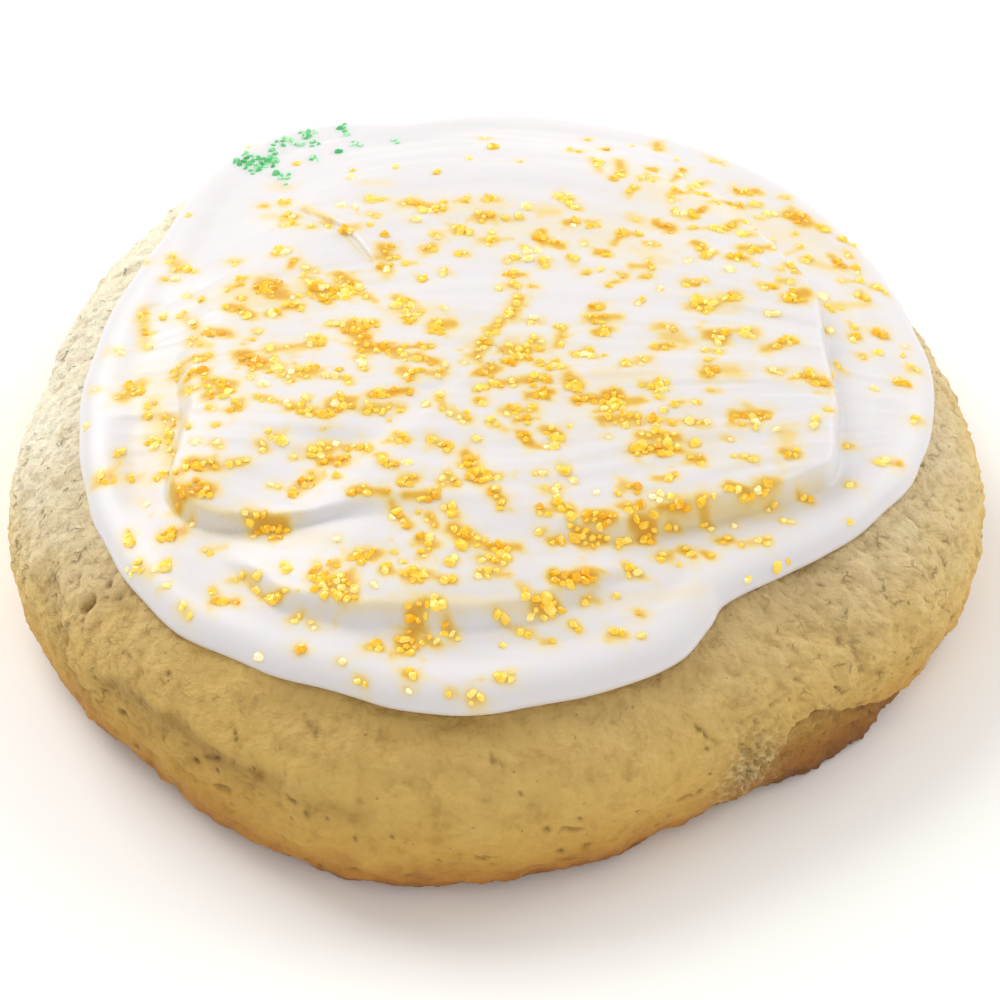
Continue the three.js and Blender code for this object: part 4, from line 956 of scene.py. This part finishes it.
def strew(clusters, grain_area):
    """The pixels of all the grains of some clusters, and how strong each one's colour is."""
    pixels, strengths = [], []
    for x, y, to_x, to_y, half_width, strength in clusters:
        run = np.array([to_x - x, to_y - y], float)
        length = math.hypot(*run)
        count = max(1, round((length + CLUSTER_ENDS * half_width) * 2 * half_width / grain_area))
        aside = np.array([-run[1], run[0]]) / length * half_width
        along, across = draw.uniform(*ALONG, (count, 1)), draw.uniform(*ACROSS, (count, 1))
        pixels.append(np.array([x, y]) + along * run + across * aside)
        strengths.append(np.full(count, strength))
    return np.concatenate(pixels), np.concatenate(strengths)


def settle(places):
    """Moves grains apart that lie on each other, as they roll off one another."""
    itself = np.eye(len(places)) * BISCUIT_RADIUS
    for _ in range(SETTLINGS):
        gap = places[:, None] - places[None]
        apart = np.hypot(gap[..., 0], gap[..., 1]) + itself
        push = np.clip(GRAIN_SPACING - apart, 0, None) / apart
        places = places + SETTLING * (gap * push[..., None]).sum(axis=1)
    return places


def grain_shapes():
    """A few broken crystals, each a bevelled block with its corners pushed in and out."""
    shapes = []
    for _ in range(CRYSTALS):
        bpy.ops.object.select_all(action="DESELECT")
        bpy.ops.mesh.primitive_cube_add(size=CRYSTAL_SIZE)
        bpy.ops.object.mode_set(mode="EDIT")
        bpy.ops.mesh.bevel(offset=draw.uniform(*CRYSTAL_BEVELS), segments=1, affect="EDGES")
        bpy.ops.object.mode_set(mode="OBJECT")
        block = bpy.context.object
        corners = np.array([v.co for v in block.data.vertices])
        faces = [list(f.vertices) for f in block.data.polygons]
        corners = corners * draw.uniform(*CRYSTAL_CORNERS, (len(corners), 1))
        corners = corners * draw.uniform(*CRYSTAL_SIDES, 3)
        shapes.append((corners, faces))
        bpy.data.objects.remove(block)
    return shapes


def turned(count):
    """Random turns as matrices."""
    a, b, c = draw.uniform(0, 2 * math.pi, (3, count))
    zero, one = np.zeros(count), np.ones(count)
    about_z = np.array([[np.cos(a), -np.sin(a), zero], [np.sin(a), np.cos(a), zero], [zero, zero, one]])
    about_x = np.array([[one, zero, zero], [zero, np.cos(b), -np.sin(b)], [zero, np.sin(b), np.cos(b)]])
    about_y = np.array([[np.cos(c), zero, np.sin(c)], [zero, one, zero], [-np.sin(c), zero, np.cos(c)]])
    return np.einsum("ijn,jkn,kln->nil", about_z, about_x, about_y)


def pour(name, places, strengths, radii, material):
    """One piece of all the grains at some places, with each grain's tone kept on its corners."""
    count = len(places)
    radius = radii[0] + (radii[1] - radii[0]) * draw.uniform(0, 1, count) ** FEW_LARGE_GRAINS
    seats = on_icing(places, GRAIN_SINK * radius)
    turns = turned(count)
    kinds = draw.randint(0, len(crystals), count)
    tones = TONE_PALEST - TONE_DEPTH * strengths + TONE_SPREAD * draw.normal(size=count)
    tones = np.clip(tones, 0, 1)
    corners, faces, tone, used = [], [], [], 0
    for seat, size, turn, kind, hue in zip(seats, radius, turns, kinds, tones):
        shape, sides = crystals[kind]
        corners.append(shape @ turn.T * size + seat + to_frame)
        faces += [[corner + used for corner in side] for side in sides]
        tone.append(np.full(len(shape), hue))
        used += len(shape)
    mesh = bpy.data.meshes.new(name)
    mesh.from_pydata(np.concatenate(corners) * MM, [], faces)
    piece = bpy.data.objects.new(name, mesh)
    bpy.context.collection.objects.link(piece)
    paint(piece, "tone", np.concatenate(tone))
    mesh.materials.append(material)
    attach(piece, "root")
    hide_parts("icing")
    return piece


def sugar_material(name, stops):
    """Clear dyed sugar: hard, glassy facets with the dye's colour inside, stronger in some grains.

    Its glints are painted by a noise, and it gives off a faint painted glow of its own colour.
    """
    material, shader = new_material(name)
    tone = add_node(material, "ShaderNodeAttribute", {"attribute_name": "tone"}).outputs["Fac"]
    place = add_node(material, "ShaderNodeTexCoord").outputs["Object"]
    # Painted glints: a noise shifts each grain's tone up and down its ramp
    glint = add_node(material, "ShaderNodeTexNoise", None, {
        "Vector": place, "Scale": 1 / (GLINT_SIZE * MM), "Detail": 1.0,
    })
    glinting = add_node(material, "ShaderNodeMath", {"operation": "MULTIPLY_ADD"}, {
        0: glint.outputs["Fac"], 1: GLINT_SHIFT, 2: tone,
    })
    share = add_node(material, "ShaderNodeMath", {"operation": "SUBTRACT"}, {
        0: glinting.outputs[0], 1: GLINT_SHIFT / 2,
    })
    dye = add_node(material, "ShaderNodeValToRGB", None, {"Fac": share.outputs[0]}, stops)
    # A faint painted glow: the grains give off their own colour, as if lit from inside
    for socket in ("Base Color", "Emission Color"):
        material.node_tree.links.new(dye.outputs["Color"], shader.inputs[socket])
    shader.inputs["Roughness"].default_value = 0.08
    shader.inputs["IOR"].default_value = 1.54
    shader.inputs["Transmission Weight"].default_value = 0.12
    shader.inputs["Emission Strength"].default_value = 0.2
    return material


draw = np.random.RandomState(SEED)
crystals = grain_shapes()
amber_pixels, amber_strengths = strew(AMBER_CLUSTERS, GRAIN_AREA)
green_pixels, green_strengths = strew(GREEN_CLUSTERS, GREEN_GRAIN_AREA)
loose_turn = draw.uniform(0, 360, LOOSE_GRAINS)
loose_out = LOOSE_REACH * np.sqrt(draw.uniform(0, 1, LOOSE_GRAINS))
amber_places = np.concatenate([seen_at(amber_pixels), placed(loose_turn, loose_out, 0 * loose_out)[:, :2]])
amber_strengths = np.concatenate([amber_strengths, np.full(LOOSE_GRAINS, LOOSE_STRENGTH)])
amber_places = settle(amber_places)
green_places = settle(seen_at(green_pixels))
amber = sugar_material("amber_sugar", [
    (0.0, "#EAAC16"), (0.3, "#F5C830"), (0.6, "#F9DA58"), (0.85, "#FBE894"), (1.0, "#FCF3CC"),
])
emerald = sugar_material("green_sugar", [(0.0, "#279A4C"), (0.5, "#5EC47C"), (1.0, "#B4E6B8")])
yellow_sugar = pour("yellow_sugar", amber_places, amber_strengths, GRAIN_RADIUS, amber)
green_sugar = pour("green_sugar", green_places, green_strengths, GREEN_GRAIN_RADIUS, emerald)


# The dye in the icing
# The white sugar icing took up the crystals' dye: in strokes where the blade dragged it, and a little
# round each grain. Some strokes are painted shade instead, and the thin lip holds painted warm light.
# It is fine sugar in a little fat, and its lip and its film are thin.

# How much dye a grain leaves, how far it goes, and its share beside the strokes
GRAIN_STAIN, GRAIN_STAIN_REACH, GRAIN_STAIN_SHARE = 0.35, 0.5, 0.6
# A stroke's width beside its cluster's, the halo round it, and how much of the dye lies in its core
STROKE_WIDTH, STROKE_HALO, STROKE_CORE = 1.2, 0.6, 0.7
# How uneven the strokes' edges are, and the lumps that make them so: width, stretch along the blade
STROKE_UNEVEN, UNEVEN_WIDTH, UNEVEN_STRETCH = 0.6, 1.1, 1.4
WALL_MARGIN = 0.4
# How strongly the biscuit shows through the icing's thin lip and through a film this thin, with painted
# warm bounce light on the lip and painted shade in the scraped trough
THIN_LIP, THIN_FILM = 0.6, 1.25


def on_wall(spots):
    """1 half-way down the slab's wall, 0 off it, for spots on the plan."""
    bearing = np.degrees(np.arctan2(spots[:, 1], spots[:, 0])) % 360
    half_run = through(SLAB_RUN, bearing) / 2
    down = slab_foot(bearing) - half_run - np.hypot(*spots.T)
    return np.exp(-((down / (half_run + WALL_MARGIN)) ** 2))


def smear(strokes, spots):
    """How much dye the strokes leave at spots on the plan."""
    strokes = np.array(strokes, float)
    ends = seen_at(strokes[:, :4].reshape(-1, 2)).reshape(-1, 2, 2)
    dragged = np.stack([spots[:, 0] / UNEVEN_STRETCH, spots[:, 1], 0 * spots[:, 0]], axis=-1)
    uneven = 1 + STROKE_UNEVEN * (1 - on_wall(spots)) * lumps(dragged, UNEVEN_WIDTH, 3)
    left = np.zeros(len(spots))
    half_widths = strokes[:, 4] / PIXELS_PER_MM * STROKE_WIDTH
    for (start, end), half_width, strength in zip(ends, half_widths, strokes[:, 5]):
        run = end - start
        as_far = np.hypot(*run) / 2 + 3 * half_width + 2
        near = np.flatnonzero(np.abs(spots - (start + end) / 2).max(axis=1) < as_far)
        share = np.clip((spots[near] - start) @ run / (run @ run), 0, 1)
        off = np.hypot(*(spots[near] - start - share[:, None] * run).T) * uneven[near]
        core = np.exp(-((off / half_width) ** 2))
        halo = np.exp(-((off / (half_width + STROKE_HALO)) ** 2))
        left[near] = np.maximum(left[near], strength * (STROKE_CORE * core + (1 - STROKE_CORE) * halo))
    return left


def stain(places, spots):
    """How much dye the grains leave at spots on the plan."""
    tree = kdtree.KDTree(len(spots))
    for index, spot in enumerate(spots):
        tree.insert((spot[0], spot[1], 0), index)
    tree.balance()
    left = np.zeros(len(spots))
    for place in places:
        for _, index, off in tree.find_range((place[0], place[1], 0), 2 * GRAIN_STAIN_REACH):
            left[index] += GRAIN_STAIN * math.exp(-((off / GRAIN_STAIN_REACH) ** 2))
    return np.minimum(left, 1)


upper_side = np.where(under_share > 0, 0.0, 1.0)
spots = placed(bearing, np.where(on_top, top_rho, lip_rho), 0 * bearing)[:, :2]
# The hazes hold dye and also painted shade on the icing's walls and troughs
smeared = np.maximum(smear(AMBER_CLUSTERS, spots), smear(HAZES_AND_PAINTED_SHADE, spots))
undyed = (1 - smeared) * (1 - GRAIN_STAIN_SHARE * stain(amber_places, spots))
paint(icing, "dye", (1 - undyed) * upper_side)
paint(icing, "green_dye", stain(green_places, spots) * upper_side)
scraped = np.clip(THIN_FILM - icing_thickness(bearing, np.minimum(top_rho, lip_start)), 0, 1) * on_top
# Partly the biscuit showing through, partly painted shade in the scraped trough and painted warm light on
# the lip
paint(icing, "thin_and_painted_light", scraped + THIN_LIP * ease(lip_share, 0.45, 0.9))

# Sugar icing: fine sugar in a little fat, almost white, soft satin, light goes a little way into it.
GREEN_SHARE, SOFT_SIZE, SOFT_DEPTH = 0.4, 1.6, 0.15

white, white_shader = new_material("sugar_icing")
place = add_node(white, "ShaderNodeTexCoord").outputs["Object"]
dye = add_node(white, "ShaderNodeAttribute", {"attribute_name": "dye"}).outputs["Fac"]
green_dye = add_node(white, "ShaderNodeAttribute", {"attribute_name": "green_dye"}).outputs["Fac"]
thin_and_painted_light = add_node(white, "ShaderNodeAttribute", {"attribute_name": "thin_and_painted_light"}).outputs["Fac"]
# The dye's ramp also colours the painted shade of the hazes
stained = add_node(white, "ShaderNodeValToRGB", None, {"Fac": dye}, [
    (0.0, "#DEDBDD"), (0.15, "#E2D8C4"), (0.4, "#E6CE8A"), (0.7, "#DFB240"), (1.0, "#D89C14"),
])
green_share = add_node(white, "ShaderNodeMath", {"operation": "MULTIPLY"}, {0: green_dye, 1: GREEN_SHARE})
greened = add_node(white, "ShaderNodeMix", OVER, {
    SHARE: green_share.outputs[0], FIRST: stained.outputs["Color"], SECOND: linear("#9CCBA0"),
})
# The biscuit's colour showing through thin icing, with painted shade and painted warm light in it
see_through = add_node(white, "ShaderNodeMix", OVER, {
    SHARE: thin_and_painted_light, FIRST: greened.outputs[MIXED], SECOND: linear("#DECAA8"),
})
white.node_tree.links.new(see_through.outputs[MIXED], white_shader.inputs["Base Color"])
white_shader.inputs["Roughness"].default_value = 0.38
white_shader.inputs["Subsurface Weight"].default_value = 0.5
white_shader.inputs["Subsurface Radius"].default_value = (0.8 * MM, 0.65 * MM, 0.5 * MM)
white_shader.inputs["Subsurface Scale"].default_value = 1.0
soft = add_node(white, "ShaderNodeTexNoise", None, {
    "Vector": place, "Scale": 1 / (SOFT_SIZE * MM), "Detail": 2.0,
})
soft_bump = add_node(white, "ShaderNodeBump", None, {
    "Height": soft.outputs["Fac"], "Strength": 0.15, "Distance": SOFT_DEPTH * MM,
})
white.node_tree.links.new(soft_bump.outputs["Normal"], white_shader.inputs["Normal"])
icing.data.materials.append(white)
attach(icing, "root")
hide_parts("icing")


# The floor, the light and the camera
# A plain pale floor, one large soft light from the back left, a weak one from the front, and even
# light from all round, as in a bright studio.
SENSOR = 36.0
FLOOR_SIZE, FLOOR_GAP = 6.0, 0.02
DAYLIGHT = 0.63
# The nearest that the camera sees, in metres
NEAREST = 0.01
# The lights: name, azimuth, elevation, distance and size in metres, watts and colour
LIGHTS = [
    ("key", 132, 40, 1.0, 0.7, 6.2, "#FFFEFC"), ("back", 35, 30, 1.0, 0.8, 3.8, "#FFFFFF"),
    ("fill", 286, 24, 1.2, 1.0, 2.8, "#FFFDFA"),
]

bpy.ops.mesh.primitive_plane_add(size=FLOOR_SIZE, location=(0, 0, -FLOOR_GAP * MM))
floor = bpy.context.object
floor.name = "floor"
pale, pale_shader = new_material("pale_floor")
pale_shader.inputs["Base Color"].default_value = linear("#FBFAF8")
pale_shader.inputs["Roughness"].default_value = 0.9
floor.data.materials.append(pale)


def soft_light(name, azimuth, elevation, distance, size, power, colour):
    """An area light that looks at the cookie from an azimuth, counter-clockwise from +X."""
    lamp = bpy.data.lights.new(name, "AREA")
    lamp.shape = "DISK"
    lamp.size = size
    lamp.energy = power
    lamp.color = linear(colour)[:3]
    holder = bpy.data.objects.new(name, lamp)
    bpy.context.collection.objects.link(holder)
    turn, rise = math.radians(azimuth), math.radians(elevation)
    level = math.cos(rise)
    place = Vector((math.cos(turn) * level, math.sin(turn) * level, math.sin(rise))) * distance
    holder.location = place
    holder.rotation_euler = place.to_track_quat("Z", "Y").to_euler()


for light in LIGHTS:
    soft_light(*light)

world = bpy.data.worlds.new("studio")
world.use_nodes = True
world.node_tree.nodes["Background"].inputs["Color"].default_value = linear("#FFFEFC")
world.node_tree.nodes["Background"].inputs["Strength"].default_value = DAYLIGHT
bpy.context.scene.world = world
bpy.context.scene.view_settings.view_transform = "Standard"

camera_data = bpy.data.cameras.new("camera")
camera_data.sensor_width = SENSOR
camera_data.lens = FOCAL_PIXELS / PICTURE_PIXELS * SENSOR
camera_data.clip_start = NEAREST
camera = bpy.data.objects.new("camera", camera_data)
bpy.context.collection.objects.link(camera)
camera.location = Vector((AIM + to_frame + BACKWARDS * DISTANCE) * MM)
camera.rotation_euler = (math.pi / 2 - ELEVATION, 0, 0)
bpy.context.scene.camera = camera
